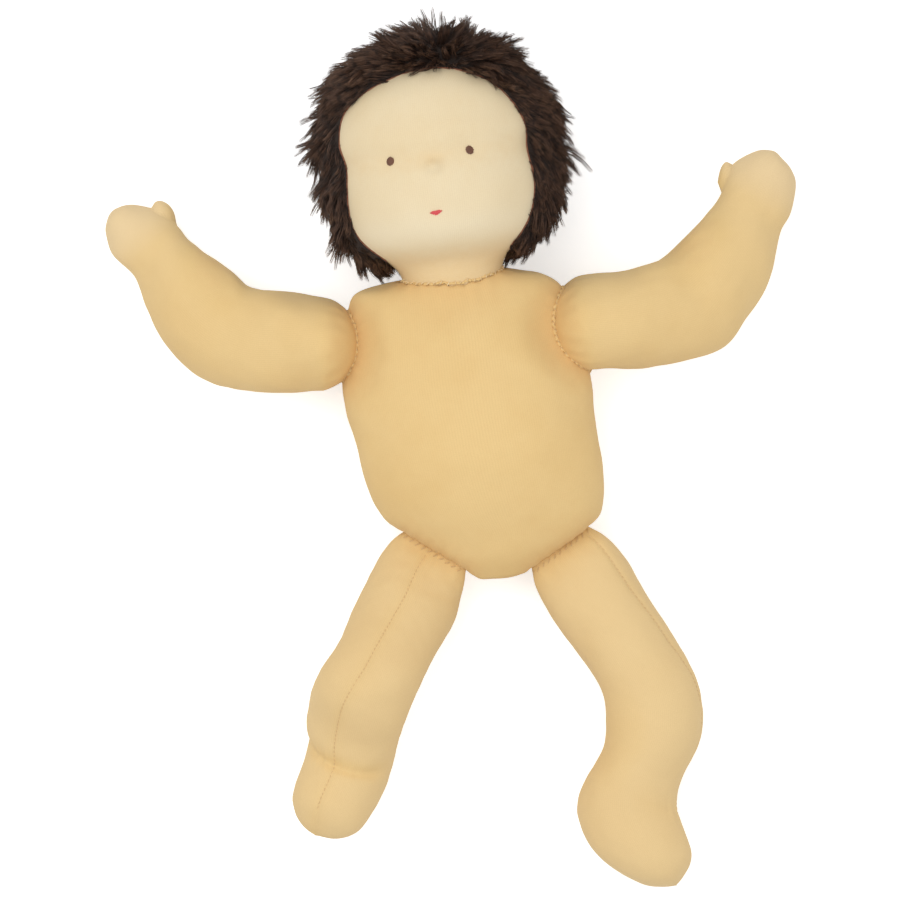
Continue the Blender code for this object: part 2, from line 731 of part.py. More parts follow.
def drawn_up(along):
    """Where a share of the leg's length lies once the knee is drawn up."""
    if along <= DRAWN_UP_END_SHARE:
        return along * DRAWN_UP_SHARE
    return DRAWN_UP_END_SHARE * DRAWN_UP_SHARE + along - DRAWN_UP_END_SHARE


def settled(grid):
    """The rows of a leg let down, less and less towards its sewn root, until it touches the floor."""
    shares = [blend(0, 1, (i + 1 - len(HIP_ROOT_SHARES)) / ROOT_ROWS) for i in range(len(grid))]
    sink = max((-REST_CUT - min(p.z for p in row)) / share
               for row, share in zip(grid, shares) if share > 0)
    return [[p + UP * sink * share for p in row] for row, share in zip(grid, shares)]


def make_leg(side, looks, carrier):
    """One leg: skin and filling."""
    grid = settled(leg_grid(side))
    tip = limb_tip(grid)
    skin = cut_flat(shell(side + "_leg_skin", grid, tip, CLOTH))
    fill, fill_tip = shrink(grid, tip, CLOTH + GAP)
    root_pole = sum(fill[0], Vector()) / len(fill[0]) - HIP_OUT[side] * GAP
    filling = solid(side + "_leg_filling", thin(fill, 2), fill_tip, root_pole)
    leg_seams(side, grid, surface(skin), looks, carrier)
    link(side + "_leg_skin", skin, looks["skin"], carrier)
    link(side + "_leg_filling", filling, looks["wool"], carrier)


def leg_seams(side, grid, tree, looks, carrier):
    """The sewn seam down the front of a leg, and the tuck stitches at its ankle."""
    first = len(HIP_ROOT_SHARES)
    rows = range(first - 1, first + ANKLE_ROW)
    anchors = []
    for i in rows:
        turn = math.pi / 2
        if side == "left":
            turn *= 1 - blend(0, 1, (i - first) / ROOT_ROWS)
        middle = sum(grid[i], Vector()) / len(grid[i])
        quarter = len(grid[i]) // 4
        across, up = (grid[i][0] - middle), (grid[i][quarter] - middle)
        anchors.append((middle, across * math.cos(turn) + up * math.sin(turn)))
    seats = []
    for (m0, w0), (m1, w1) in zip(anchors, anchors[1:]):
        for t in SEAM_STEPS_SHARES:
            middle, way = m0.lerp(m1, t), w0.lerp(w1, t)
            hit = seat(tree, middle + way * RAY_START_SHARE, -way.normalized())
            if hit:
                seats.append(hit)
    name = side + "_leg_front_seam"
    link(name, laid_thread(name, seats, SEAM_THREAD / 2, SEAM_SIDES), looks["seam"], carrier)
    row = grid[first + ANKLE_ROW]
    middle = sum(row, Vector()) / len(row)
    quarter = len(row) // 4
    axis_across, axis_up = row[0] - middle, row[quarter] - middle
    if side == "left":
        axis_across, axis_up = axis_up, axis_across
    down = from_angle(LEG_ANGLE[side])
    seats = []
    for k in range(-ANKLE_STITCHES, ANKLE_STITCHES + 1):
        turn = k * ANKLE_STITCH_TURN
        way = axis_across * math.sin(turn) + axis_up * math.cos(turn)
        shift = down * STITCH_LENGTH / 2 * (1 if k % 2 else -1)
        seats.append(seat(tree, middle + way * RAY_START_SHARE + shift, -way.normalized()))
    name = side + "_ankle_stitches"
    link(name, laid_thread(name, seats, STITCH_RADIUS), looks["seam"], carrier)


def head_grid(dent=0.0):
    """Rings of the head from the neck's ball up to the crown, with a dent at eye level."""
    grid = []
    for angle in NECK_DOME_ANGLES:
        spread = NECK_RADIUS * math.sin(angle)
        grid.append(ring(NECK - HEADWARD * NECK_RADIUS * math.cos(angle),
                         Vector((spread, 0, 0)), Vector((0, 0, spread)), BODY_SIDES))
    for k, (along, wide, deep, rise) in enumerate(HEAD_SHARES):
        less = dent if k == EYE_LINE_ROW else 0
        height = blend(NECK_HEIGHT, HEAD_HEIGHT, rise)
        middle = Vector((HEAD_SIDE, NECK.y + along * HEAD_LENGTH, height))
        grid.append(ring(middle, Vector((wide * HEAD_WIDTH - less, 0, 0)),
                         Vector((0, 0, deep * HEAD_DEPTH - less)), BODY_SIDES))
    return grid, Vector((HEAD_SIDE, NECK.y + HEAD_LENGTH, HEAD_HEIGHT))


def band(name, row, normal, out_low, out_high, width):
    """A tied band round a ring of points."""
    middle = sum(row, Vector()) / len(row)
    bm = bmesh.new()
    loops = []
    for out, shift in ((out_low, -width / 2), (out_high, -width / 2), (out_high, width / 2),
                       (out_low, width / 2)):
        loops.append([bm.verts.new(p + (p - middle).normalized() * out + normal * shift)
                      for p in row])
    for k in range(4):
        one, two = loops[k], loops[(k + 1) % 4]
        for i in range(len(row)):
            n = (i + 1) % len(row)
            bm.faces.new((one[i], one[n], two[n], two[i]))
    return to_mesh(bm, name)


def head_axis_at(point):
    """The head's middle line at a point's place along it."""
    return Vector((HEAD_SIDE, point.y, NECK_HEIGHT))


def make_head(looks, carrier, neck_carrier):
    """Face skin, gauze, wool core, ties, nose, neck roll, features and wig."""
    grid, crown = head_grid()
    skin = shell("head_skin", grid, crown, CLOTH)
    tied, _ = head_grid(EYE_TIE_DENT)
    gauze_grid, gauze_top = shrink(tied, crown, CLOTH + GAP)
    gauze_grid[NECK_TIE_ROW] = [p + (head_axis_at(p) - p).normalized() * NECK_TIE_DENT
                                for p in gauze_grid[NECK_TIE_ROW]]
    coarse = thin(gauze_grid, 2)
    reach = NECK_RADIUS * NOD_RELIEF_REACH_SHARE
    hole = NECK_ROLL_RADIUS + JOINT_GAP
    relief = rod("nod relief", NECK, NECK - HEADWARD * reach, hole,
                 hole + reach * math.tan(NOD_RELIEF))
    gauze = cut(shell("head_gauze", coarse, gauze_top, GAUZE), relief)
    core_grid, core_top = shrink(coarse, gauze_top, GAUZE + GAP)
    core = solid("head_core", core_grid, core_top,
                 NECK - HEADWARD * (NECK_RADIUS - CLOTH - GAUZE - GAP * 2))
    socket = ball("neck ball socket", NECK, NECK_BALL_RADIUS + JOINT_GAP, LIMB_SIDES)
    core = cut(core, socket, relief)
    make_face(surface(skin), surface(gauze), looks, carrier)
    make_wig(grid, crown, looks, carrier)
    link("head_skin", skin, looks["face"], carrier)
    link("head_gauze", gauze, looks["gauze"], carrier)
    link("head_core", core, looks["wool"], carrier)
    for name, row, deep, width in (
            ("eye_line_tie", len(NECK_DOME_ANGLES) + EYE_LINE_ROW, EYE_TIE_SEAT, EYE_TIE_WIDTH),
            ("neck_tie", NECK_TIE_ROW, NECK_TIE_SEAT, NECK_TIE_WIDTH)):
        mesh = band(name, gauze_grid[row], HEADWARD, deep, deep + TIE_THICKNESS, width)
        link(name, mesh, looks["thread"], carrier)
    roll = rod("neck_roll", NECK - HEADWARD * NECK_ROLL_LENGTH, NECK, NECK_ROLL_RADIUS,
               sides=LIMB_SIDES)
    roll = joined(roll, ball("neck ball", NECK, NECK_BALL_RADIUS, LIMB_SIDES), "UNION")
    link("neck_roll", roll, looks["wool"], neck_carrier)


def make_face(tree, gauze_tree, looks, carrier):
    """Two embroidered eyes, a small mouth, and the wool bead under the nose."""
    above = UP * HEAD_DEPTH * 2
    for side, x in EYE_SHARES.items():
        start = Vector((HEAD_SIDE + x * HEAD_WIDTH, NECK.y + EYE_ALONG_SHARE * HEAD_LENGTH, 0))
        point, normal = seat(tree, start + above, -UP)
        name = side + "_eye"
        link(name, dome(name, point + normal * GAP, normal, EYE_RADIUS, EYE_RADIUS,
                        STITCH_RELIEF), looks["eye"], carrier)
    start = Vector((HEAD_SIDE + MOUTH_SHARES[0] * HEAD_WIDTH,
                    NECK.y + MOUTH_SHARES[1] * HEAD_LENGTH, 0))
    point, normal = seat(tree, start + above, -UP)
    link("mouth", dome("mouth", point + normal * GAP, normal, MOUTH_WIDTH / 2, MOUTH_HEIGHT / 2,
                       STITCH_RELIEF), looks["mouth"], carrier)
    start = Vector((HEAD_SIDE + NOSE_SHARES[0] * HEAD_WIDTH,
                    NECK.y + NOSE_SHARES[1] * HEAD_LENGTH, 0))
    point, normal = seat(gauze_tree, start + above, -UP)
    link("nose_bead", dome("nose_bead", point + normal * GAP, normal, NOSE_WIDTH / 2,
                           NOSE_HEIGHT / 2, NOSE_THICKNESS), looks["wool"], carrier)


def dome(name, place, normal, across, up, height):
    """A small flat-backed cushion of thread."""
    side = HEADWARD.cross(normal).normalized()
    top = normal.cross(side)
    grid = [ring(place + normal * height * lift, side * across * wide, top * up * wide, DOME_SIDES)
            for lift, wide in DOME_SHARES]
    return solid(name, grid, place + normal * height, place)


def window(name, low_z, grow):
    """The block that a face opening takes out of the wig."""
    middle = Vector((HEAD_SIDE, FACE_LOW_Y + FACE_LENGTH / 2, low_z))
    grid = [ring(middle + UP * z, Vector((FACE_WIDTH / 2 + grow, 0, 0)),
                 Vector((0, FACE_LENGTH / 2 + grow, 0)), BODY_SIDES, FACE_SQUARENESS)
            for z in (0, HEAD_DEPTH)]
    return solid(name, grid, middle + UP * HEAD_DEPTH, middle)


def make_wig(grid, crown, looks, carrier):
    """Knitted wig backing and the pile on it, both open round the face."""
    first = len(NECK_DOME_ANGLES)
    inner, inner_tip = shrink(grid, crown, -GAP)
    outer, outer_tip = shrink(grid, crown, -GAP - WIG_BACKING)
    face = window("face window", HAIR_PARTING_HEIGHT, 0)
    backing = wall("wig_backing", outer[first:], outer_tip, inner[first:], inner_tip)
    link("wig_backing", cut(backing, face), looks["backing"], carrier)
    seat_grid, seat_tip = shrink(grid, crown, -GAP * 2 - WIG_BACKING)
    normals = grid_normals(grid, crown)
    pile = []
    for i in range(first, len(grid)):
        row = []
        for k, point in enumerate(seat_grid[i]):
            n = normals[i][k]
            back = max(-n.z, 0)
            deep = PILE_SIDE + (PILE_TOP - PILE_SIDE) * max(n.y, 0)
            deep += (PILE_BACK - deep) * back ** PILE_BACK_POWER
            turn = PILE_CLUMPS * math.tau * k / BODY_SIDES
            clump = PILE_CLUMP * math.sin(turn + i) * (1 - back)
            low = PILE_LOW_SHARE + (1 - PILE_LOW_SHARE) * min((i - first) / PILE_LOW_ROWS, 1)
            row.append(point + n * (deep * low + clump))
        pile.append(row)
    body = wall("hair_pile", pile, seat_tip + HEADWARD * PILE_TOP, seat_grid[first:], seat_tip)
    body = cut(body, window("pile window", HAIR_PARTING_HEIGHT - GAP, GAP))
    link("hair_pile", cut_flat(body), looks["hair"], carrier)


def wall(name, outer, outer_tip, inner, inner_tip):
    """A cap between two tubes of rings, open at its first ring."""
    bm = bmesh.new()
    outer_rows = add_grid(bm, outer, outer_tip)
    inner_rows = add_grid(bm, inner, inner_tip)
    for k in range(len(outer_rows[0])):
        n = (k + 1) % len(outer_rows[0])
        bm.faces.new((outer_rows[0][k], outer_rows[0][n], inner_rows[0][n], inner_rows[0][k]))
    return to_mesh(bm, name)


# Build
for old in list(bpy.data.objects):
    bpy.data.objects.remove(old)

LOOKS = {
    "skin": material("skin_tricot", (0.82, 0.60, 0.34), 0.85),
    "face": material("face_tricot", (0.86, 0.72, 0.50), 0.85),
    "gauze": material("gauze", (0.85, 0.82, 0.75), 0.9),
    "wool": material("carded_wool", (0.80, 0.75, 0.65), 0.95),
    "thread": material("strong_thread", (0.75, 0.70, 0.60), 0.7),
    "eye": material("eye_thread", (0.12, 0.05, 0.03), 0.6),
    "mouth": material("mouth_thread", (0.60, 0.06, 0.05), 0.6),
    "backing": material("wig_backing", (0.10, 0.06, 0.04), 0.9),
    "hair": material("hair_pile", (0.05, 0.025, 0.018), 0.8),
    "seam": material("seam_thread", (0.62, 0.42, 0.24), 0.7),
}

doll = pivot("doll", Vector())
torso_carrier = pivot("torso_pivot", Vector(), doll)
neck_carrier = pivot("neck_turn_pivot", NECK, torso_carrier)
head_carrier = pivot("head_nod_pivot", NECK, neck_carrier)
make_torso(LOOKS, torso_carrier)
make_head(LOOKS, head_carrier, neck_carrier)
for s in SIDES:
    make_arm(s, LOOKS, pivot(s + "_shoulder_pivot", SHOULDER[s], torso_carrier))
    make_leg(s, LOOKS, pivot(s + "_hip_pivot", HIP[s], torso_carrier))

# The doll rests on the floor with its middle over the origin
bpy.context.view_layer.update()
corners = [made.matrix_world @ Vector(corner) for made in bpy.data.objects
           if made.type == "MESH" for corner in made.bound_box]
low = Vector(min(corner[axis] for corner in corners) for axis in range(3))
high = Vector(max(corner[axis] for corner in corners) for axis in range(3))
doll.location = -Vector(((low.x + high.x) / 2, (low.y + high.y) / 2, low.z))
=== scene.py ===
"""A stuffed cloth doll with a wool pile wig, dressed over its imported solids.

The doll lies on its back. It faces +Z, its head is towards +Y and its left arm towards +X.
Lengths are in metres. Tables of shares are shares of the size that their comment names.
"""
from __future__ import annotations

import json
import logging
import math
from dataclasses import dataclass, field
from enum import Enum

import bpy
import numpy as np
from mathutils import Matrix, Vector
from mathutils.bvhtree import BVHTree

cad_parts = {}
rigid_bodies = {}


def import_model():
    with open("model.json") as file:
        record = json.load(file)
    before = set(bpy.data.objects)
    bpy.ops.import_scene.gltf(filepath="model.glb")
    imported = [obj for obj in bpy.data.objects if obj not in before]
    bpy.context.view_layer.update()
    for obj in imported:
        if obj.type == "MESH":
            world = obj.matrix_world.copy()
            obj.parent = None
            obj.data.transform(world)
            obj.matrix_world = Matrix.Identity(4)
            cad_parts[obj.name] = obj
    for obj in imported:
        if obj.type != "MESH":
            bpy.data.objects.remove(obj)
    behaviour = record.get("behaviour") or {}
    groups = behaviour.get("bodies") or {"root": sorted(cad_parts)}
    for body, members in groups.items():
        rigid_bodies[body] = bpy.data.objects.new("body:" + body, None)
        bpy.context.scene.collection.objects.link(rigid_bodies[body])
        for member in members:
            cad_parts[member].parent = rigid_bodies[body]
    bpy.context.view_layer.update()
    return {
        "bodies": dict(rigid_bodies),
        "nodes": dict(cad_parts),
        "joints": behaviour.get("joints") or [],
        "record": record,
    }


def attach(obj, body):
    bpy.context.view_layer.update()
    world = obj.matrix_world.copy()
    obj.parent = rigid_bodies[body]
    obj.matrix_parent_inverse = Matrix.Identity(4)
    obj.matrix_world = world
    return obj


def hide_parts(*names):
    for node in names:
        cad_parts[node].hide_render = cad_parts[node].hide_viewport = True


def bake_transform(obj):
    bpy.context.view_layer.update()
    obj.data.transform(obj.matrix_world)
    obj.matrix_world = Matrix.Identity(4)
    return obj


Array = np.ndarray
Look = bpy.types.Material
Piece = bpy.types.Object
Tree = bpy.types.NodeTree
Spot = tuple[Array, Array]
Colour = tuple[float, float, float]

LOG = logging.getLogger("doll")
MM = 0.001
TAU = math.tau
UP = np.array((0.0, 0.0, 1.0))
HEADWARD = np.array((0.0, 1.0, 0.0))
LEFTWARD = np.array((1.0, 0.0, 0.0))
DOWN_RAY = Vector((0, 0, -1))
RAY_HEIGHT = 0.2
UV_NAME = "cloth"
# Per-point tint: painted shade in folds and beside seams, painted light under the chin, and the
# paler tone of the limbs
PAINTED_SHADING_NAME = "blush"
NOISE_WAVES = 18
STITCH_PITCH = 3.2 * MM
PUCKER = 2 * STITCH_PITCH
EVERY_WAY = ((-1, -1, -1), (1, 1, 1))


class Side(Enum):
    """The doll's own left and right."""

    LEFT = "left"
    RIGHT = "right"

    @property
    def sign(self) -> int:
        """The way along X that this side lies."""
        return 1 if self is Side.LEFT else -1


class Closing(Enum):
    """How many rings close the end of a stuffed form."""

    ROUND = 7
    BLUNT = 3


def ease(share: Array | float) -> Array:
    """A share from 0 to 1, held at both ends and eased between them."""
    held = np.clip(share, 0.0, 1.0)
    return held * held * (3.0 - 2.0 * held)


def unit(vectors: Array) -> Array:
    """Vectors brought to length one."""
    return vectors / np.maximum(np.linalg.norm(vectors, axis=-1, keepdims=True), 1e-12)


def bell(distance: Array, width: float) -> Array:
    """A smooth hump, one at distance zero."""
    return np.exp(-((distance / width) ** 2))


def walked(line: Array) -> Array:
    """How far each point of a line lies from its start, along it."""
    return np.concatenate(([0.0], np.cumsum(np.linalg.norm(line[1:] - line[:-1], axis=1))))


def between(wanted: Array | float, steps: Array, values: Array) -> Array:
    """The values of a line at other distances along it."""
    return np.stack([np.interp(wanted, steps, values[:, a]) for a in range(3)], axis=-1)


def chord(line: Array) -> Array:
    """From the point before each point of a closed line to the point after it."""
    return np.roll(line, -1, 0) - np.roll(line, 1, 0)


def evened(line: Array, times: int) -> Array:
    """Evens a closed line out.

    Args:
        line: Its points.
        times: How often.

    Returns:
        The new points.
    """
    for _ in range(times):
        line = line * 0.5 + (np.roll(line, 1, 0) + np.roll(line, -1, 0)) * 0.25
    return line


def soft_noise(points: Array, wavelength: float, seed: int) -> Array:
    """Smooth lumps of about unit size over points.

    Args:
        points: Places, the last axis being xyz.
        wavelength: The usual distance from lump to lump.
        seed: Fixes the pattern.

    Returns:
        One value for each place.
    """
    rng = np.random.default_rng(seed)
    ways = unit(rng.normal(size=(NOISE_WAVES, 3)))
    lengths = wavelength * rng.uniform(0.7, 1.6, NOISE_WAVES)
    phases = rng.uniform(0.0, TAU, NOISE_WAVES)
    total = np.zeros(points.shape[:-1])
    for way, length, phase in zip(ways, lengths, phases):
        total += np.sin(points @ way * TAU / length + phase)
    return total / math.sqrt(NOISE_WAVES / 2)


def ring(middle: Array, across: Array, up: Array, count: int, power: float = 2.0) -> Array:
    """Points of a rounded outline.

    Args:
        middle: Centre of the outline.
        across: Half axis that the first point lies on.
        up: The other half axis.
        count: How many points.
        power: Two for an ellipse, more for a squarer outline.

    Returns:
        The points, one to a row.
    """
    turn = TAU * np.arange(count) / count
    c, s = np.cos(turn), np.sin(turn)
    c = np.sign(c) * np.abs(c) ** (2.0 / power)
    s = np.sign(s) * np.abs(s) ** (2.0 / power)
    return middle + c[:, None] * across + s[:, None] * up


def dome(degrees: tuple[float, ...], middle: Array, back: Array, across: Array, up: Array,
         count: int) -> list[Array]:
    """Rings of a rounded root, from its far end to its rim.

    Args:
        degrees: The angle of each ring from the far end.
        middle: Centre of the rim.
        back: From there to the far end.
        across: Half axis of the rim that its first point lies on.
        up: The rim's other half axis.
        count: How many points in a ring.

    Returns:
        The rings.
    """
    angles = [math.radians(d) for d in degrees]
    return [ring(middle + back * math.cos(a), across * math.sin(a), up * math.sin(a), count)
            for a in angles]


def smooth_rows(rows: Array, step: float) -> tuple[Array, Array]:
    """Fills in rings between control rings along smooth lines.

    Args:
        rows: Control rings.
        step: Wanted distance between rings.

    Returns:
        The finer rings, and the place of each as a control ring number.
    """
    gaps = np.linalg.norm(rows[1:] - rows[:-1], axis=2).mean(axis=1)
    slopes = (rows[1:] - rows[:-1]) / gaps[:, None, None]
    tangents = np.empty_like(rows)
    tangents[0], tangents[-1] = slopes[0], slopes[-1]
    before, after = gaps[:-1, None, None], gaps[1:, None, None]
    tangents[1:-1] = (slopes[:-1] * after + slopes[1:] * before) / (before + after)
    made, places = [], []
    for i, gap in enumerate(gaps):
        count = max(1, round(gap / step))
        for k in range(count):
            t = k / count
            leave, depart = 2 * t**3 - 3 * t**2 + 1, t**3 - 2 * t**2 + t
            reach, arrive = 3 * t**2 - 2 * t**3, t**3 - t**2
            made.append(leave * rows[i] + depart * gap * tangents[i]
                        + reach * rows[i + 1] + arrive * gap * tangents[i + 1])
            places.append(i + t)
    return np.array([*made, rows[-1]]), np.array([*places, float(len(rows) - 1)])


def closing_rows(last: Array, end: Array, closing: Closing) -> list[Array]:
    """Rings that round a form off.

    Args:
        last: The form's last ring.
        end: Its end point.
        closing: How the end is closed.

    Returns:
        The rings, from the last one outwards.
    """
    middle = last.mean(axis=0)
    angles = [math.pi / 2 * k / (closing.value + 1) for k in range(1, closing.value + 1)]
    return [middle + (end - middle) * math.sin(a) + (last - middle) * math.cos(a) for a in angles]


@dataclass
class Form:
    """A closed stuffed form, made of rings between a root point and a tip point."""

    rings: Array
    root: Array
    tip: Array
    places: Array
    # Above zero painted shade, below zero painted light or the paler tone of the limbs
    blush: Array = field(init=False)

    def __post_init__(self) -> None:
        """Starts with no painted shading or tone."""
        self.blush = np.zeros(self.rings.shape[:2])

    @classmethod
    def lofted(cls, rows: list[Array], root: Array, tip: Array, step: float,
               root_end: Closing = Closing.ROUND) -> Form:
        """Lofts control rings smoothly and rounds both ends off.

        Args:
            rows: The control rings.
            root: The point at the first end.
            tip: The point at the other end.
            step: Wanted distance between rings.
            root_end: How the first end is closed.

        Returns:
            The form.
        """
        fine, places = smooth_rows(np.array(rows), step)
        low = closing_rows(fine[0], root, root_end)[::-1]
        high = closing_rows(fine[-1], tip, Closing.ROUND)
        places = np.concatenate((np.full(len(low), places[0]), places,
                                 np.full(len(high), places[-1])))
        return cls(np.concatenate((np.array(low), fine, np.array(high))), root, tip, places)

    def normals(self) -> Array:
        """Works the outward directions out.

        Returns:
            One for every ring point.
        """
        around = self.rings.shape[1]
        full = np.concatenate((np.repeat(self.root[None, None], around, 1), self.rings,
                               np.repeat(self.tip[None, None], around, 1)))
        along = full[2:] - full[:-2]
        side = np.roll(self.rings, -1, 1) - np.roll(self.rings, 1, 1)
        found = unit(np.cross(side, along))
        outward = ((self.rings - self.rings.mean(axis=1, keepdims=True)) * found).sum()
        return found if outward > 0 else -found

    def push(self, amount: Array) -> None:
        """Moves every ring point outwards by its own amount."""
        self.rings = self.rings + self.normals() * amount[..., None]

    def crumple(self, *lumps: tuple[float, float, int]) -> None:
        """Presses soft lumps in: for each its height and spacing in millimetres, and its seed."""
        self.push(sum(size * MM * soft_noise(self.rings, far * MM, seed)
                      for size, far, seed in lumps))

    def relax(self, times: int, share: float | Array = 0.5) -> None:
        """Evens the surface out, around each ring and from ring to ring.

        Args:
            times: How often.
            share: How far each time, for the whole form or ring by ring.
        """
        if isinstance(share, Array):
            share = share[:, None, None]
        for _ in range(times):
            inner = self.rings.copy()
            inner[1:-1] = (self.rings[2:] + self.rings[:-2]) / 2
            beside = (np.roll(self.rings, 1, 1) + np.roll(self.rings, -1, 1)) / 2
            self.rings = self.rings * (1 - share) + (inner + beside) * share / 2

    def settle(self, softness: float) -> None:
        """Flattens what would lie under the floor, with a soft edge."""
        z = self.rings[..., 2]
        self.rings[..., 2] = (z + np.sqrt(z * z + softness * softness)) / 2

    def lengthwise(self) -> Array:
        """How far each ring lies from the first, along the form."""
        steps = np.linalg.norm(self.rings[1:] - self.rings[:-1], axis=2).mean(axis=1)
        return np.concatenate(([0.0], np.cumsum(steps)))

    def sides(self) -> Array:
        """The distance from every ring point to the next round its ring."""
        return np.linalg.norm(np.roll(self.rings, -1, 1) - self.rings, axis=2)

    def spots(self, wanted: list[tuple[float, float]]) -> list[Spot]:
        """Finds places on the surface.

        Args:
            wanted: Ring and column numbers, in between ones too.

        Returns:
            The point and the outward direction at each.
        """
        normals = self.normals()
        around = self.rings.shape[1]
        found = []
        for row, column in wanted:
            i, k = min(int(row), len(self.rings) - 2), math.floor(column)
            t, s = row - i, column - k
            k, n = k % around, (k + 1) % around
            point, out = ((grid[i, k] * (1 - s) + grid[i, n] * s) * (1 - t)
                          + (grid[i + 1, k] * (1 - s) + grid[i + 1, n] * s) * t
                          for grid in (self.rings, normals))
            found.append((point, unit(out)))
        return found

    def faces(self) -> list[tuple[int, ...]]:
        """Lists the faces, which face out: quads between rings, then fans at both ends.

        Returns:
            The vertex numbers of each.
        """
        count, around = self.rings.shape[:2]
        root = count * around
        last = root - around
        pairs = [(k, (k + 1) % around) for k in range(around)]
        made = [(i + k, i + n, i + around + n, i + around + k)
                for i in range(0, last, around) for k, n in pairs]
        for k, n in pairs:
            made += [(root, n, k), (last + k, last + n, root + 1)]
        first = self.rings[count // 2]
        turned = np.cross(first, np.roll(first, -1, 0)).sum(axis=0)
        outward = turned @ (self.rings[count // 2 + 1] - first).mean(axis=0) > 0
        return made if outward else [face[::-1] for face in made]

    def points(self) -> Array:
        """All vertices: the rings, then the root and the tip."""
        return np.concatenate((self.rings.reshape(-1, 3), self.root[None], self.tip[None]))

    def tree(self) -> BVHTree:
        """Something that rays can be cast at."""
        return BVHTree.FromPolygons([Vector(p) for p in self.points()], self.faces())

    def to_object(self, name: str, look: Look) -> Piece:
        """Makes the form a smooth mesh with a cloth UV map and its painted shading and tone.

        Args:
            name: The piece's name.
            look: Its material.

        Returns:
            The piece.
        """
        self.root[2] = max(self.root[2], self.rings[0, :, 2].min())
        self.tip[2] = max(self.tip[2], self.rings[-1, :, 2].min())
        faces = self.faces()
        mesh = new_mesh(name, self.points(), faces)
        count, around = self.rings.shape[:2]
        along = self.lengthwise()
        spread = [corner for i in range(count - 1) for k in range(around) for corner in (
            (k, along[i]), (k + 1, along[i]), (k + 1, along[i + 1]), (k, along[i + 1]))]
        for k in range(around):
            spread += [(k + 0.5, along[0]), (k + 1, along[0]), (k, along[0])]
            spread += [(k, along[-1]), (k + 1, along[-1]), (k + 0.5, along[-1])]
        if faces[0] != (0, 1, around + 1, around):
            sizes = [len(face) for face in faces]
            starts = np.concatenate(([0], np.cumsum(sizes)))
            spread = [spread[start + size - 1 - k] for start, size in zip(starts, sizes)
                      for k in range(size)]
        values = np.array(spread, dtype=np.float32)
        values[:, 0] *= round(self.sides().sum(axis=1).mean() / MM) * MM / around
        unwrap(mesh, values)
        store(mesh, PAINTED_SHADING_NAME, np.concatenate((
            self.blush.ravel(), [self.blush[0].mean(), self.blush[-1].mean()])))
        return finished(name, mesh, look)


def new_mesh(name: str, points: Array, faces: list[tuple[int, ...]]) -> bpy.types.Mesh:
    """Makes a mesh.

    Args:
        name: Its name.
        points: Its vertices, the last axis being xyz.
        faces: The vertex numbers of each face.

    Returns:
        The mesh.
    """
    mesh = bpy.data.meshes.new(name)
    mesh.from_pydata(points.reshape(-1, 3).tolist(), [], faces)
    return mesh


def unwrap(mesh: bpy.types.Mesh, corners: Array | list) -> None:
    """Gives a mesh its cloth UV map, a place for every corner."""
    layer = mesh.uv_layers.new(name=UV_NAME)
    layer.data.foreach_set("uv", np.array(corners, dtype=np.float32).ravel())


def store(mesh: bpy.types.Mesh, name: str, values: Array | list, kind: str = "FLOAT") -> None:
    """Stores a number, or a direction with the kind FLOAT_VECTOR, for every vertex."""
    made = mesh.attributes.new(name, kind, "POINT")
    made.data.foreach_set("value" if kind == "FLOAT" else "vector",
                          np.array(values, dtype=np.float32).ravel())


def finished(name: str, mesh: bpy.types.Mesh, look: Look) -> Piece:
    """Makes an object of a mesh, with its faces facing out.

    Args:
        name: The piece's name.
        mesh: Its mesh.
        look: Its material.

    Returns:
        The piece, smooth and in its material.
    """
    mesh.validate()
    mesh.update()
    face_out(mesh)
    mesh.materials.clear()
    mesh.materials.append(look)
    mesh.shade_smooth()
    made = bpy.data.objects.new(name, mesh)
    bpy.context.scene.collection.objects.link(made)
    return made


def face_out(mesh: bpy.types.Mesh) -> None:
    """Turns the faces of a closed mesh outwards, by the sign of the volume that they hold.

    Args:
        mesh: The mesh.
    """
    mesh.calc_loop_triangles()
    corners = np.empty(len(mesh.loop_triangles) * 3, dtype=np.int32)
    mesh.loop_triangles.foreach_get("vertices", corners)
    places = np.empty(len(mesh.vertices) * 3)
    mesh.vertices.foreach_get("co", places)
    a, b, c = places.reshape(-1, 3)[corners.reshape(-1, 3)].transpose(1, 0, 2)
    if (a * np.cross(b, c)).sum() < 0:
        mesh.flip_normals()


def cord(name: str, line: Array, outs: Array, radius: Array, look: Look, sides: int = 8) -> Piece:
    """A closed ring of cord along a line.

    Args:
        name: The piece's name.
        line: The points that the cord runs through, the last before the first again.
        outs: The surface's direction at each point.
        radius: The cord's radius at each point.
        look: Its material.
        sides: How many faces go round it.

    Returns:
        The piece.
    """
    ahead = unit(chord(line))
    aside = unit(np.cross(ahead, outs))
    up = np.cross(aside, ahead)
    turns = np.arange(sides) * TAU / sides
    points = line[:, None] + radius[:, None, None] * (
        aside[:, None] * np.cos(turns)[None, :, None] + up[:, None] * np.sin(turns)[None, :, None])
    cells = [(k, j) for k in range(len(line)) for j in range(sides)]
    corners = ((0, 0), (0, 1), (1, 1), (1, 0))
    mesh = new_mesh(name, points, [tuple((k + a) % len(line) * sides + (j + b) % sides
                                         for a, b in corners) for k, j in cells])
    cell_size = 0.5 * MM
    unwrap(mesh, [((j + b) * cell_size, (k + a) * cell_size)
                  for k, j in cells for a, b in corners])
    return finished(name, mesh, look)


def from_above(tree: BVHTree, x: float, y: float) -> Spot | None:
    """Finds the top of a surface.

    Args:
        tree: The surface.
        x: Where, along X.
        y: Where, along Y.

    Returns:
        The point and the way up out of it, or None beside the surface.
    """
    hit, normal, _, _ = tree.ray_cast(Vector((x, y, RAY_HEIGHT)), DOWN_RAY)
    if hit is None:
        return None
    return np.array(hit), np.array(normal) * (1 if normal.z > 0 else -1)


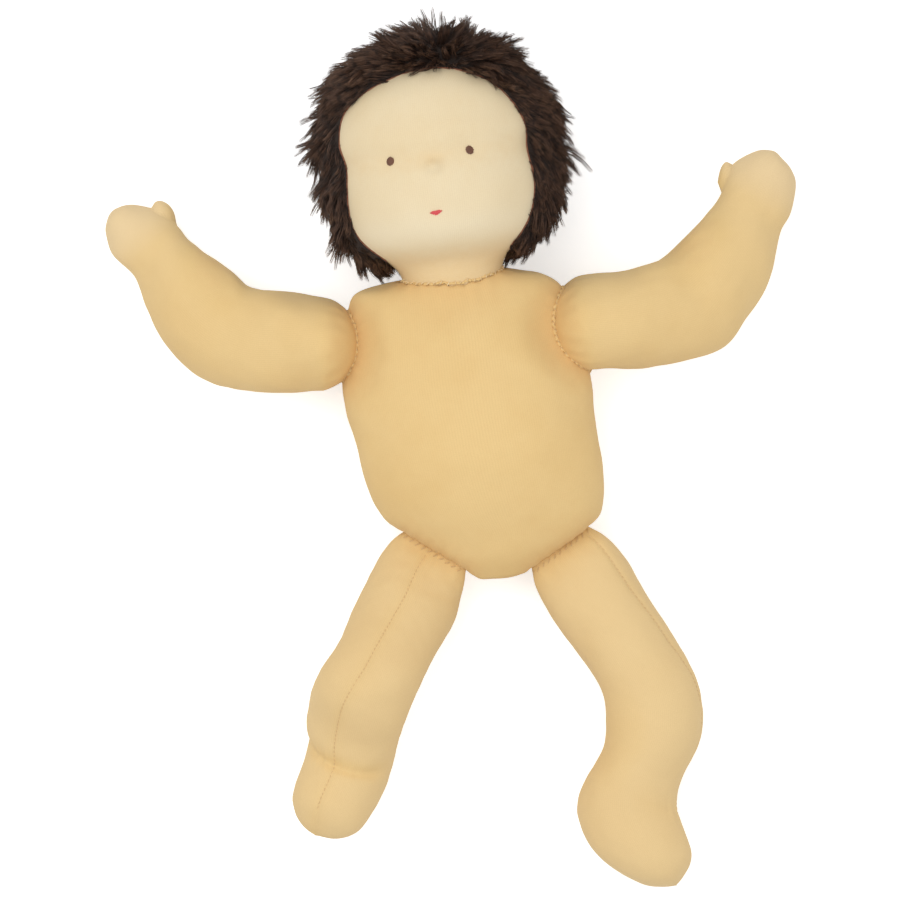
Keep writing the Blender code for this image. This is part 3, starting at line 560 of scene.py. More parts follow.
@dataclass(frozen=True)
class Value:
    """An output of a node. A sum that is written with it becomes more nodes."""

    graph: Graph
    socket: bpy.types.NodeSocket

    def math(self, operation: str, *others: object) -> Value:
        """A sum on this number and others."""
        return self.graph.math(operation, self, *others)

    def __add__(self, other: object) -> Value:
        """This and another number."""
        return self.math("ADD", other)

    def __sub__(self, other: object) -> Value:
        """This less another number."""
        return self.math("SUBTRACT", other)

    def __rsub__(self, other: object) -> Value:
        """Another number less this."""
        return self.graph.math("SUBTRACT", other, self)

    def __mul__(self, other: object) -> Value:
        """This times another number."""
        return self.math("MULTIPLY", other)

    def __truediv__(self, other: object) -> Value:
        """This divided by another number."""
        return self.math("DIVIDE", other)

    def plus(self, other: object) -> Value:
        """This vector and another."""
        return self.graph.add("ShaderNodeVectorMath", {0: self, 1: other}, operation="ADD")[0]

    def scaled(self, size: object) -> Value:
        """This vector, scaled."""
        return self.graph.add("ShaderNodeVectorMath", {0: self, "Scale": size},
                              operation="SCALE")[0]

    def ranged(self, low: float, high: float, to_low: object = 0.0,
               to_high: object = 1.0) -> Value:
        """This number, carried from one range into another and held there."""
        return self.graph.add("ShaderNodeMapRange", {0: self, 1: low, 2: high, 3: to_low,
                                                     4: to_high}, clamp=True)[0]


@dataclass(frozen=True)
class Made:
    """A node that was added to a graph."""

    graph: Graph
    node: bpy.types.Node

    def __getitem__(self, name: int | str) -> Value:
        """One of its outputs."""
        return Value(self.graph, self.node.outputs[name])


@dataclass(frozen=True)
class Graph:
    """Builds a node tree: shader or geometry, in a group or in a material."""

    tree: Tree

    def sockets(self, way: str, kind: str, names: dict[str, object]) -> None:
        """Adds inputs or outputs to the group.

        Args:
            way: INPUT or OUTPUT.
            kind: Their type.
            names: What each starts with, or None, by its name.
        """
        for name, start in names.items():
            made = self.tree.interface.new_socket(name, in_out=way,
                                                  socket_type="NodeSocket" + kind)
            if start is not None:
                made.default_value = start

    def feed(self, node: bpy.types.Node, inputs: dict[int | str, object]) -> None:
        """Gives a node's inputs their values.

        Args:
            node: The node.
            inputs: Values or outputs of other nodes, by the input's name or number.
        """
        for key, value in inputs.items():
            socket = node.inputs[key]
            if isinstance(value, Value):
                self.tree.links.new(value.socket, socket)
            else:
                socket.default_value = (*value, 1.0) if socket.type == "RGBA" else value

    def add(self, kind: str, inputs: dict | None = None, **settings: object) -> Made:
        """Adds a node.

        Args:
            kind: The node's type.
            inputs: What its inputs are given.
            **settings: Properties of the node.

        Returns:
            The node.
        """
        node = self.tree.nodes.new(kind)
        for key, value in settings.items():
            setattr(node, key, value)
        self.feed(node, inputs or {})
        return Made(self, node)

    def math(self, operation: str, *values: object) -> Value:
        """A sum on numbers."""
        return self.add("ShaderNodeMath", dict(enumerate(values)), operation=operation)[0]

    def mix(self, share: object, first: object, second: object) -> Value:
        """A colour between two colours."""
        return self.add("ShaderNodeMix", {"Factor": share, 6: first, 7: second},
                        data_type="RGBA")[2]

    def noise(self, places: Value, scale: object, detail: float = 2.0, roughness: float = 0.5,
              distortion: float = 0.0) -> Made:
        """Adds cloudy noise.

        Args:
            places: Where it is read.
            scale: How fine it is.
            detail: How many finer layers it has.
            roughness: How strong those are.
            distortion: How far it is drawn out.

        Returns:
            The node.
        """
        return self.add("ShaderNodeTexNoise", {"Vector": places, "Scale": scale, "Detail": detail,
                                               "Roughness": roughness, "Distortion": distortion})

    def here(self) -> Value:
        """The place on the object."""
        return self.add("ShaderNodeTexCoord")["Object"]

    def read(self, name: str) -> Value:
        """An attribute, in a material."""
        return self.add("ShaderNodeAttribute", attribute_name=name)["Fac"]

    def named(self, name: str, kind: str = "FLOAT_VECTOR") -> Value:
        """An attribute, in a geometry group."""
        return self.add("GeometryNodeInputNamedAttribute", {"Name": name}, data_type=kind)[0]

    def stored(self, geometry: Value, name: str, value: Value) -> Value:
        """The geometry with a number stored at its points."""
        return self.add("GeometryNodeStoreNamedAttribute", {
            "Geometry": geometry, "Name": name, "Value": value}, data_type="FLOAT",
            domain="POINT")[0]

    def random(self, seed: object, low: object, high: object, number: object = None) -> Value:
        """Adds random numbers, or vectors where the limits are vectors.

        Args:
            seed: Fixes them.
            low: The lower limit.
            high: The upper limit.
            number: What gets one value each, or None for every element.

        Returns:
            The values.
        """
        first, kind = (0, "FLOAT_VECTOR") if isinstance(low, tuple) else (2, "FLOAT")
        inputs = {first: low, first + 1: high, "Seed": seed}
        if number is not None:
            inputs["ID"] = number
        return self.add("FunctionNodeRandomValue", inputs, data_type=kind)[first // 2]

    def placed(self, points: Value, thing: Value, ways: tuple[Value, Value], axes: str,
               size: tuple[object, ...]) -> Value:
        """Puts a thing on every point.

        Args:
            points: Where.
            thing: What.
            ways: The directions of its main and its second axis.
            axes: Those two axes.
            size: Its scale along X, Y and Z.

        Returns:
            The things, as plain geometry.
        """
        turn = self.add("FunctionNodeAxesToRotation", dict(enumerate(ways)),
                        primary_axis=axes[0], secondary_axis=axes[1])
        scale = self.add("ShaderNodeCombineXYZ", dict(enumerate(size)))
        made = self.add("GeometryNodeInstanceOnPoints", {
            "Points": points, "Instance": thing, "Rotation": turn[0], "Scale": scale[0]})
        return self.add("GeometryNodeRealizeInstances", {0: made[0]})[0]

    def tube(self, line: Value, sides: int, radius: object, scale: object = 1.0) -> Value:
        """Closed tubes along curves.

        Args:
            line: The curves.
            sides: How many faces go round.
            radius: The tube's radius.
            scale: A share of it at each point.

        Returns:
            The tubes.
        """
        profile = self.add("GeometryNodeCurvePrimitiveCircle", {
            "Resolution": sides, "Radius": radius}, mode="RADIUS")
        return self.add("GeometryNodeCurveToMesh", {
            "Curve": line, "Profile Curve": profile[0], "Scale": scale, "Fill Caps": True})[0]

    def dressed(self, geometry: Value, look: Value) -> Value:
        """The geometry, smooth and in its material."""
        smooth = self.add("GeometryNodeSetShadeSmooth", {"Geometry": geometry})
        return self.add("GeometryNodeSetMaterial", {"Geometry": smooth[0], "Material": look})[0]


def new_group(name: str, kind: str) -> Graph:
    """An empty shader or geometry group."""
    return Graph(bpy.data.node_groups.new(name, kind))


def new_material(name: str) -> tuple[Look, Graph, bpy.types.Node]:
    """Makes a material.

    Args:
        name: Its name.

    Returns:
        The material, its graph and its shader.
    """
    made = bpy.data.materials.new(name)
    made.use_nodes = True
    return made, Graph(made.node_tree), made.node_tree.nodes["Principled BSDF"]


def knit_group() -> Tree:
    """The relief and tone of fine knitted cloth: ribs along it, loops across, and nap.

    Returns:
        A shader group that puts out a height and a tone, both from 0 to 1.
    """
    graph = new_group("fine knit", "ShaderNodeTree")
    graph.sockets("INPUT", "Float", {"Rib Width": 1.0 * MM, "Loop Height": 0.9 * MM,
                                     "Nap Scale": 2200.0})
    graph.sockets("OUTPUT", "Float", {"Height": None, "Tone": None})
    given = graph.add("NodeGroupInput")
    cloth = graph.add("ShaderNodeSeparateXYZ", {0: graph.add("ShaderNodeUVMap",
                                                             uv_map=UV_NAME)[0]})
    places = graph.here()
    across = cloth[0] + graph.noise(places, 60.0)[0] * (0.6 * MM)
    rib = (across / given["Rib Width"] * math.pi).math("SINE").math("ABSOLUTE")
    loops = ((cloth[1] / given["Loop Height"] + rib * 0.25) * TAU).math("SINE")
    knit = rib.math("POWER", 0.7) * loops.math("MULTIPLY_ADD", 0.16, 0.84)
    nap = graph.noise(places, given["Nap Scale"], 4.0, 0.7)[0]
    graph.add("NodeGroupOutput", {"Height": knit * 0.7 + nap * 0.5,
                                  "Tone": knit * 0.24 + nap * 0.82})
    return graph.tree


def fibre_group() -> Tree:
    """Long drawn-out fibre streaks for thread and wool.

    Returns:
        A shader group that puts out a height and a tone, both from 0 to 1.
    """
    graph = new_group("spun fibre", "ShaderNodeTree")
    graph.sockets("INPUT", "Float", {"Scale": 900.0})
    graph.sockets("OUTPUT", "Float", {"Height": None, "Tone": None})
    scale = graph.add("NodeGroupInput")["Scale"]
    places = graph.here()
    coarse = graph.noise(places, scale, 3.0, distortion=1.5)[0]
    both = coarse * 0.6 + graph.noise(places, scale * 3.0)[0] * 0.4
    graph.add("NodeGroupOutput", {"Height": both, "Tone": both})
    return graph.tree


@dataclass(frozen=True)
class ClothFinish:
    """Brushed cotton knit: warmer in painted shade at folds and seams, paler in painted light and
    on limbs.
    """

    name: str
    pale: Colour
    deep: Colour
    warm: Colour
    light: Colour
    rib: float = 0.75 * MM
    roughness: float = 0.9
    sheen: float = 0.06
    relief: float = 0.05 * MM
    shade: Colour = (0.30, 0.14, 0.05)

    def build(self, knit: Tree) -> Look:
        """Makes the material.

        Args:
            knit: The knit group.

        Returns:
            The material.
        """
        made, graph, shader = new_material(self.name)
        weave = graph.add("ShaderNodeGroup", node_tree=knit)
        graph.feed(weave.node, {"Rib Width": self.rib})
        places = graph.here()
        cloud, speck = graph.noise(places, 22.0, 5.0, 0.55)[0], graph.noise(places, 260.0, 3.0)[0]
        blush, tone = graph.read(PAINTED_SHADING_NAME), weave["Tone"]
        ground = graph.mix(cloud.ranged(0.38, 0.64), self.pale, self.deep)
        # Below zero the tint goes to the light colour: painted light under the chin, and the paler
        # tone of the limbs
        ground = graph.mix(blush.ranged(-1.0, 0.0, 1.0, 0.0), ground, self.light)
        # Above zero it goes to the warm colour: painted shade in folds and beside seams; the speck
        # noise adds random warm specks
        warmed = graph.mix((blush + (speck - 0.5) * 0.35).ranged(0.0, 1.0), ground, self.warm)
        dark = graph.mix(0.15, warmed, self.shade)
        bump = graph.add("ShaderNodeBump", {"Height": weave["Height"], "Distance": self.relief,
                                            "Strength": 0.8})
        graph.feed(shader, {
            "Base Color": graph.mix(tone.ranged(0.25, 0.75, 1.0, 0.0), warmed, dark),
            "Roughness": tone.ranged(0.2, 0.8, self.roughness + 0.06, self.roughness - 0.06),
            "Normal": bump[0], "Sheen Weight": self.sheen, "Sheen Roughness": 0.5,
            "Specular IOR Level": 0.2})
        return made


@dataclass(frozen=True)
class ThreadFinish:
    """Spun thread or matted wool: two tones mixed in streaks."""

    name: str
    light: Colour
    dark: Colour
    scale: float = 900.0
    roughness: float = 0.7
    sheen: float = 0.1
    relief: float = 0.08 * MM

    def build(self, fibre: Tree) -> Look:
        """Makes the material.

        Args:
            fibre: The fibre group.

        Returns:
            The material.
        """
        made, graph, shader = new_material(self.name)
        streaks = graph.add("ShaderNodeGroup", {"Scale": self.scale}, node_tree=fibre)
        tone = streaks["Tone"]
        bump = graph.add("ShaderNodeBump", {"Height": streaks["Height"], "Distance": self.relief,
                                            "Strength": 0.9})
        graph.feed(shader, {
            "Base Color": graph.mix(tone.ranged(0.3, 0.7), self.dark, self.light),
            "Roughness": tone.ranged(0.3, 0.7, self.roughness + 0.1, self.roughness - 0.1),
            "Normal": bump[0], "Sheen Weight": self.sheen})
        return made


@dataclass(frozen=True)
class HairFinish:
    """Wool hair: dark at the root, lighter at the tip as painted highlight, a little different in
    each strand.
    """

    name: str
    root: Colour
    middle: Colour
    tip: Colour
    roughness: float = 0.46

    def build(self) -> Look:
        """Makes the material, which reads each strand's own values.

        Returns:
            The material.
        """
        made, graph, shader = new_material(self.name)
        along, shade, places = graph.read("strand_tip"), graph.read("strand_shade"), graph.here()
        cloud, clump = graph.noise(places, 90.0, 3.0)[0], graph.noise(places, 330.0, 1.0)[0]
        lower = graph.mix(along.ranged(0.0, 0.55), self.root, self.middle)
        rare = shade.math("POWER", 3.0)
        # Painted highlight: lighter towards the tip, strongest on a few strands
        tip_highlight = along.ranged(0.3, 0.95) * (rare * 0.9 + cloud * 0.45)
        dull = shade.ranged(0.0, 0.45, 0.7, 0.0).math("MAXIMUM",
                                                      clump.ranged(0.36, 0.52, 0.85, 0.0))
        graph.feed(shader, {
            "Base Color": graph.mix(dull, graph.mix(tip_highlight, lower, self.tip), self.root),
            "Roughness": shade.ranged(0.0, 1.0, self.roughness + 0.12, self.roughness - 0.08),
            "Specular IOR Level": 0.34})
        return made


@dataclass
class Finishes:
    """Every material of the doll, built once."""

    skin: Look
    face: Look
    wool: Look
    seam: Look
    neck_seam: Look
    hem: Look
    eye: Look
    mouth: Look
    backing: Look
    hair: Look

    @classmethod
    def made(cls) -> Finishes:
        """Builds the groups and the materials.

        Returns:
            The materials.
        """
        knit, fibre = knit_group(), fibre_group()
        return cls(
            skin=ClothFinish("skin_tricot", (0.80, 0.575, 0.265), (0.765, 0.535, 0.235),
                             (0.76, 0.47, 0.205), (0.82, 0.63, 0.365)).build(knit),
            face=ClothFinish("face_tricot", (0.82, 0.69, 0.46), (0.80, 0.655, 0.415),
                             (0.78, 0.56, 0.285), (0.87, 0.77, 0.56), rib=0.7 * MM).build(knit),
            wool=ThreadFinish("carded_wool", (0.82, 0.77, 0.66), (0.70, 0.63, 0.50), scale=400.0,
                              roughness=0.9).build(fibre),
            seam=ThreadFinish("seam_thread", (0.76, 0.54, 0.27), (0.58, 0.38, 0.18)).build(fibre),
            neck_seam=ThreadFinish("neck_thread", (0.88, 0.74, 0.48),
                                   (0.72, 0.50, 0.24)).build(fibre),
            hem=ThreadFinish("wig_hem", (0.30, 0.11, 0.05), (0.10, 0.03, 0.015)).build(fibre),
            eye=ThreadFinish("eye_thread", (0.19, 0.075, 0.035), (0.085, 0.03, 0.015),
                             roughness=0.5).build(fibre),
            mouth=ThreadFinish("mouth_thread", (0.78, 0.10, 0.10), (0.55, 0.05, 0.06),
                               roughness=0.5).build(fibre),
            backing=ThreadFinish("wig_backing", (0.030, 0.017, 0.011), (0.012, 0.007, 0.005),
                                 scale=500.0, roughness=0.95, sheen=0.0).build(fibre),
            hair=HairFinish("hair_pile", (0.020, 0.0095, 0.0055), (0.080, 0.037, 0.021),
                            (0.21, 0.115, 0.066)).build(),
        )


def grown(name: str, mesh: bpy.types.Mesh, tree: Tree, values: dict[str, object]) -> Piece:
    """Runs a geometry tree on a mesh and keeps what it makes as a plain mesh.

    Args:
        name: The piece's name.
        mesh: The mesh that the tree starts from.
        tree: The geometry tree.
        values: What its named inputs are given.

    Returns:
        The piece, at the origin, with no modifier on it.
    """
    piece = bpy.data.objects.new(name, mesh)
    bpy.context.scene.collection.objects.link(piece)
    modifier = piece.modifiers.new("growth", "NODES")
    modifier.node_group = tree
    inputs = {item.name: item.identifier for item in tree.interface.items_tree
              if item.item_type == "SOCKET" and item.in_out == "INPUT"}
    for key, value in values.items():
        modifier[inputs[key]] = value
    bpy.context.view_layer.update()
    graph = bpy.context.evaluated_depsgraph_get()
    made = bpy.data.meshes.new_from_object(piece.evaluated_get(graph),
                                           preserve_all_data_layers=True, depsgraph=graph)
    piece.modifiers.clear()
    piece.data = made
    made.name = name
    bpy.data.meshes.remove(mesh)
    made.update()
    return piece


def stitch_tree() -> Tree:
    """Short raised threads, one on each point, each along its own direction.

    Returns:
        A geometry group that turns points into threads.
    """
    graph = new_group("stitch run", "GeometryNodeTree")
    graph.sockets("INPUT", "Geometry", {"Places": None})
    graph.sockets("INPUT", "Float", {"Thread Radius": 0.3 * MM, "Rise": 0.3 * MM,
                                     "Unevenness": 0.12})
    graph.sockets("INPUT", "Int", {"Seed": 1})
    graph.sockets("INPUT", "Material", {"Material": None})
    graph.sockets("OUTPUT", "Geometry", {"Stitches": None})
    given = graph.add("NodeGroupInput")
    points = graph.add("GeometryNodeMeshToPoints", {"Mesh": given["Places"]})
    top = graph.add("ShaderNodeCombineXYZ", {2: given["Rise"] * 2.0})
    line = graph.add("GeometryNodeCurveQuadraticBezier", {
        "Resolution": 6, "Start": (-0.5, 0.0, 0.0), "Middle": top[0], "End": (0.5, 0.0, 0.0)})
    change = given["Unevenness"]
    length = graph.named("reach", "FLOAT") * graph.random(given["Seed"], 1.0 - change,
                                                          change + 1.0)
    threads = graph.placed(points[0], graph.tube(line[0], 6, given["Thread Radius"]),
                           (graph.named("along"), graph.named("out")), "XZ", (length, 1.0, 1.0))
    graph.add("NodeGroupOutput", {"Stitches": graph.dressed(threads, given["Material"])})
    return graph.tree


def strand_tree() -> Tree:
    """Wool locks: strands that start apart on the scalp and draw together to a tip.

    Returns:
        A geometry group that grows locks on a mesh.
    """
    graph = new_group("wool locks", "GeometryNodeTree")
    graph.sockets("INPUT", "Geometry", {"Scalp": None})
    graph.sockets("INPUT", "Float", {
        "Lock Spacing": 3.0 * MM, "Lock Radius": 2.0 * MM, "Strand Radius": 0.2 * MM,
        "Waviness": 3.0 * MM, "Length Change": 0.3, "Tip Gathering": 0.35, "Straying": 0.16,
        "Bending Over": 0.7})
    graph.sockets("INPUT", "Int", {"Strands": 12, "Strand Points": 8, "Seed": 1})
    graph.sockets("INPUT", "Material", {"Material": None})
    graph.sockets("OUTPUT", "Geometry", {"Locks": None})
    given = graph.add("NodeGroupInput")
    seed, waves, change = given["Seed"], given["Waviness"], given["Length Change"]
    spots = graph.add("GeometryNodeDistributePointsOnFaces", {
        "Mesh": given["Scalp"], "Distance Min": given["Lock Spacing"], "Density Max": 400000.0,
        "Seed": seed}, distribute_method="POISSON")
    line = graph.add("GeometryNodeCurvePrimitiveLine", {"Start": (0, 0, 0), "End": (0, 0, 1)})
    line = graph.add("GeometryNodeResampleCurve", {"Curve": line[0],
                                                   "Count": given["Strand Points"]})
    reach, aside = graph.named("reach", "FLOAT"), graph.random(seed + 5, *EVERY_WAY)
    length = reach * graph.random(seed + 9, 1.0 - change, change + 1.0)
    leaning = graph.named("flow").plus(aside.scaled(given["Straying"]))
    locks = graph.placed(spots[0], line[0], (leaning, aside), "ZX", (length,) * 3)
    many = graph.add("GeometryNodeDuplicateElements", {"Geometry": locks,
                                                       "Amount": given["Strands"]},
                     domain="SPLINE")
    number = graph.add("GeometryNodeFieldOnDomain", {0: graph.add("GeometryNodeInputIndex")[0]},
                       domain="CURVE", data_type="INT")[0]
    own = graph.random(seed + 13, *EVERY_WAY, number)
    along = graph.add("GeometryNodeSplineParameter")["Factor"]
    place = graph.add("GeometryNodeInputPosition")[0]
    apart = own.scaled(given["Lock Radius"] * along.ranged(0.0, 1.0, 1.0, given["Tip Gathering"]))
    evenly = (-0.5, -0.5, -0.5)
    sway = graph.noise(place, 75.0, 1.0)["Color"].plus(evenly)
    crimp = graph.noise(place.plus(own.scaled(0.6 * MM)), 330.0, 0.0)["Color"].plus(evenly)
    moved = apart.plus(sway.scaled(waves * along * 3.2).plus(
        crimp.scaled(waves * along.math("SQRT") * 0.7)))
    bow = (along * along) * (reach * given["Bending Over"])
    bent = graph.add("GeometryNodeSetPosition", {
        "Geometry": many[0], "Offset": moved.plus(graph.named("fall").scaled(bow))})
    split = graph.add("ShaderNodeSeparateXYZ", {0: place})
    above = graph.add("ShaderNodeCombineXYZ", {
        0: split[0], 1: split[1], 2: split[2].math("SMOOTH_MAX", 0.4 * MM, 3 * MM)})
    resting = graph.add("GeometryNodeSetPosition", {"Geometry": bent[0], "Position": above[0]})
    tipped = graph.stored(resting[0], "strand_tip", along)
    shaded = graph.stored(tipped, "strand_shade", graph.random(seed + 17, 0.0, 1.0, number))
    solid = graph.tube(shaded, 3, 1.0, given["Strand Radius"] * along.ranged(0.5, 1.0, 1.0, 0.25))
    graph.add("NodeGroupOutput", {"Locks": graph.dressed(solid, given["Material"])})
    return graph.tree


@dataclass
class Stitch:
    """One thread: its middle, its direction, the way out of the cloth and its length."""

    middle: Array
    along: Array
    out: Array
    length: float


@dataclass
class StitchRun:
    """A run of hand or machine stitches, laid as separate threads."""

    name: str
    radius: float
    rise: float
    seed: int
    unevenness: float = 0.12

    def build(self, stitches: list[Stitch], tree: Tree, look: Look) -> Piece:
        """Lays the stitches.

        Args:
            stitches: Where each lies.
            tree: The stitch tree.
            look: The thread's material.

        Returns:
            The piece.
        """
        mesh = new_mesh(self.name, np.array([s.middle for s in stitches]), [])
        store(mesh, "along", [s.along for s in stitches], "FLOAT_VECTOR")
        store(mesh, "out", [s.out for s in stitches], "FLOAT_VECTOR")
        store(mesh, "reach", [s.length for s in stitches])
        made = grown(self.name, mesh, tree, {
            "Thread Radius": self.radius, "Rise": self.rise, "Unevenness": self.unevenness,
            "Seed": self.seed, "Material": look})
        face_out(made.data)
        return made


def run_stitches(path: list[Spot], pitch: float, length: float, slant: float, lift: float,
                 seed: int = 3) -> list[Stitch]:
    """Stitches at even steps along a path on cloth.

    Args:
        path: Points and outward directions.
        pitch: Distance from stitch to stitch.
        length: Length of one.
        slant: Turn of each away from the path's direction, in radians.
        lift: How far each middle stands off the cloth.
        seed: Fixes the small differences.

    Returns:
        The stitches.
    """
    rng = np.random.default_rng(seed)
    places, outs = (np.array([spot[k] for spot in path]) for k in (0, 1))
    steps = walked(places)
    near = 0.3 * MM
    made = []
    for k in range(int(steps[-1] / pitch)):
        s = (k + 0.5) * pitch
        out = unit(between(s, steps, outs))
        way = unit(between(s + near, steps, places) - between(s - near, steps, places))
        way = unit(way - out * (way @ out))
        turn = slant + rng.normal(0.0, 0.12)
        along = way * math.cos(turn) + np.cross(out, way) * math.sin(turn)
        made.append(Stitch(between(s, steps, places) + out * lift, along, out, length))
    return made


@dataclass
class Skeleton:
    """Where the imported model's joints put the neck, the shoulders and the hips."""

    neck: Array
    shoulder: dict[Side, Array]
    hip: dict[Side, Array]
    hip_line: dict[Side, Array]
    arm_way: dict[Side, Array]

    @classmethod
    def read(cls, frame: dict) -> Skeleton:
        """Takes the places from the loaded frame.

        Args:
            frame: The frame.

        Returns:
            The places.
        """
        joints = {j["name"]: j for j in frame["joints"]}
        rest = {Side.LEFT: math.radians(1.0), Side.RIGHT: math.pi - math.radians(8.0)}
        return cls(
            neck=np.array(joints["head_turn"]["pos_m"]),
            shoulder={s: np.array(joints[s.value + "_shoulder"]["pos_m"]) for s in Side},
            hip={s: np.array(joints[s.value + "_hip"]["pos_m"]) for s in Side},
            hip_line={s: unit(-np.array(joints[s.value + "_hip"]["axis"])) for s in Side},
            arm_way={s: np.array((math.cos(rest[s]), math.sin(rest[s]), 0.0)) for s in Side},
        )

    def hip_out(self, side: Side) -> Array:
        """The way that a leg leaves the torso."""
        return np.cross(self.hip_line[side], UP)


@dataclass
class Torso:
    """The stuffed body, with hollows where the neck and the arms are set in."""

    length: float = 138 * MM
    width: float = 111 * MM
    depth: float = 70 * MM
    neck_lift: float = 2 * MM
    head_side: float = -3 * MM
    neck_radius: float = 22.8 * MM
    arm_radius: float = 22 * MM
    hip_width: float = 40 * MM
    step: float = 1.25 * MM
    around: int = 230
    squareness: float = 2.2
    collar_lift: float = 7.5 * MM
    collar_reach: float = 8 * MM
    arm_height: float = 32 * MM
    shoulder_slope = {Side.LEFT: 0.24 * 1.15, Side.RIGHT: 0.24}
    hip_softness: float = 2.5 * MM
    seam_room: float = 0.25 * MM
    # Rows: share of the length, left and right edge as shares of the width,
    # half depth and height of the middle as shares of the depth
    shares: tuple[tuple[float, ...], ...] = (
        (0.01, -0.08, 0.14, 0.10, 0.41),
        (0.03, -0.12, 0.20, 0.17, 0.40),
        (0.06, -0.17, 0.27, 0.24, 0.40),
        (0.10, -0.235, 0.36, 0.305, 0.40),
        (0.15, -0.315, 0.435, 0.36, 0.41),
        (0.21, -0.395, 0.465, 0.425, 0.43),
        (0.29, -0.45, 0.48, 0.47, 0.465),
        (0.39, -0.48, 0.48, 0.50, 0.493),
        (0.50, -0.50, 0.477, 0.50, 0.493),
        (0.61, -0.52, 0.48, 0.495, 0.488),
        (0.71, -0.52, 0.48, 0.46, 0.48),
        (0.80, -0.505, 0.465, 0.43, 0.49),
        (0.88, -0.48, 0.435, 0.395, 0.51),
        (0.94, -0.46, 0.395, 0.34, 0.53),
        (0.97, -0.435, 0.345, 0.27, 0.55),
        (0.99, -0.365, 0.25, 0.15, 0.57),
    )

    def form(self, bones: Skeleton) -> Form:
        """Shapes the body.

        Args:
            bones: Where the neck and the limbs are.

        Returns:
            The finished form.
        """
        base = np.array((bones.neck[0] - self.head_side,
                         bones.neck[1] - self.length - self.neck_lift, 0.0))

        def middle(left: float, right: float, along: float, lift: float) -> Array:
            """The middle of a row."""
            return base + np.array(((left + right) / 2 * self.width, along * self.length,
                                    lift * self.depth))

        rows = [ring(middle(left, right, along, lift), LEFTWARD * (right - left) / 2 * self.width,
                     UP * half * self.depth, self.around, self.squareness)
                for along, left, right, half, lift in self.shares]
        low, high = (middle(row[1], row[2], along, row[4])
                     for row, along in ((self.shares[0], 0.0), (self.shares[-1], 1.0)))
        form = Form.lofted(rows, low, high, self.step)
        self._lift_collar(form, bones)
        self._slope_shoulders(form, bones)
        form.relax(16)
        form.crumple((0.28, 34, 11), (0.07, 10, 12))
        self._tuck(form, bones)
        form.settle(0.8 * MM)
        return form

    def _slope_shoulders(self, form: Form, bones: Skeleton) -> None:
        """Thins the body towards the arms, which are less thick.

        Args:
            form: The body so far.
            bones: Where the arms are.
        """
        for side in Side:
            off = form.rings - bones.shoulder[side]
            far = np.linalg.norm(off[..., :2], axis=2)
            share = self.shoulder_slope[side] * ease(1 - (far - self.arm_radius) / (14 * MM))
            form.rings[..., 2] -= off[..., 2] * share

    def _lift_collar(self, form: Form, bones: Skeleton) -> None:
        """Raises the chest and the back to meet the neck.

        Args:
            form: The body so far.
            bones: Where the neck is.
        """
        off = form.rings - bones.neck
        beside = ease(1 - np.abs(off[..., 0]) / (1.45 * self.neck_radius))
        near = ease((off[..., 1] + 34 * MM) / (30 * MM))
        facing = np.clip(form.normals()[..., 2] * 1.3, -0.6, 1.0)
        form.rings[..., 2] += self.collar_lift * beside * near * facing
        form.rings[..., 1] += self.collar_reach * beside * ease((off[..., 1] + 16 * MM)
                                                                / (12 * MM))

    def _tuck(self, form: Form, bones: Skeleton) -> None:
        """Pulls the cloth in at every seam, with small puckers and painted shade beside it.

        Args:
            form: The body so far.
            bones: Where the seams are.
        """
        normals = form.normals()
        amount = np.zeros(form.rings.shape[:2])
        blush = np.zeros_like(amount)
        # Set-in seams: middle, way in, radius, depth in millimetres, and width over height
        seams = [(bones.neck, -HEADWARD, self.neck_radius, 0.9, 1.0)]
        seams += [(bones.shoulder[s], -bones.arm_way[s], self.arm_radius, 0.3,
                   self.arm_radius / self.arm_height) for s in Side]
        for centre, inward, radius, depth, squash in seams:
            off = (form.rings - centre) * np.array((1.0, 1.0, squash))
            gap = np.abs(np.linalg.norm(off, axis=2) - radius)
            turn = np.arctan2(off @ UP, off @ np.cross(UP, inward))
            pleats = round(TAU * radius / PUCKER)
            wave = np.cos(turn * pleats + 1.3 * np.sin(turn * 3 + 0.7))
            amount -= depth * MM * bell(gap, 3.4 * MM)
            amount += 0.22 * MM * wave * bell(gap, 6.5 * MM)
            # Painted shade beside the set-in seam
            blush += 0.9 * bell(gap, 9 * MM)
        for side in Side:
            off = form.rings - bones.hip[side]
            gap = np.abs(off @ bones.hip_out(side))
            along = off @ bones.hip_line[side]
            inside = ease((self.hip_width * 0.62 - np.abs(along)) / (8 * MM))
            amount -= 1.2 * MM * bell(gap, 3.2 * MM) * inside
            amount += 0.25 * MM * np.cos(along * TAU / PUCKER) * bell(gap, 7 * MM) * inside
            # Painted shade beside the hip seam
            blush += 0.7 * bell(gap, 8 * MM) * inside
        form.rings = form.rings + normals * amount[..., None]
        for centre, inward, radius, _, squash in seams:
            off = (form.rings - centre) * np.array((1.0, 1.0, squash))
            deep = off @ inward
            wide = np.linalg.norm(off - deep[..., None] * inward, axis=2)
            floor = np.sqrt(np.clip(radius**2 - wide**2, 0.0, None))
            short = np.where(wide < radius, np.maximum(floor + self.seam_room - deep, 0.0), 0.0)
            form.rings = form.rings + inward * short[..., None]
        soft = self.hip_softness
        for side in Side:
            out = bones.hip_out(side)
            down = (form.rings - bones.hip[side]) @ out
            limit = np.where(down > -soft, -soft * np.exp(-(down + soft) / soft), down)
            form.rings = form.rings + out * (limit - down)[..., None]
        form.blush = np.clip(blush * 0.4, 0, 1)


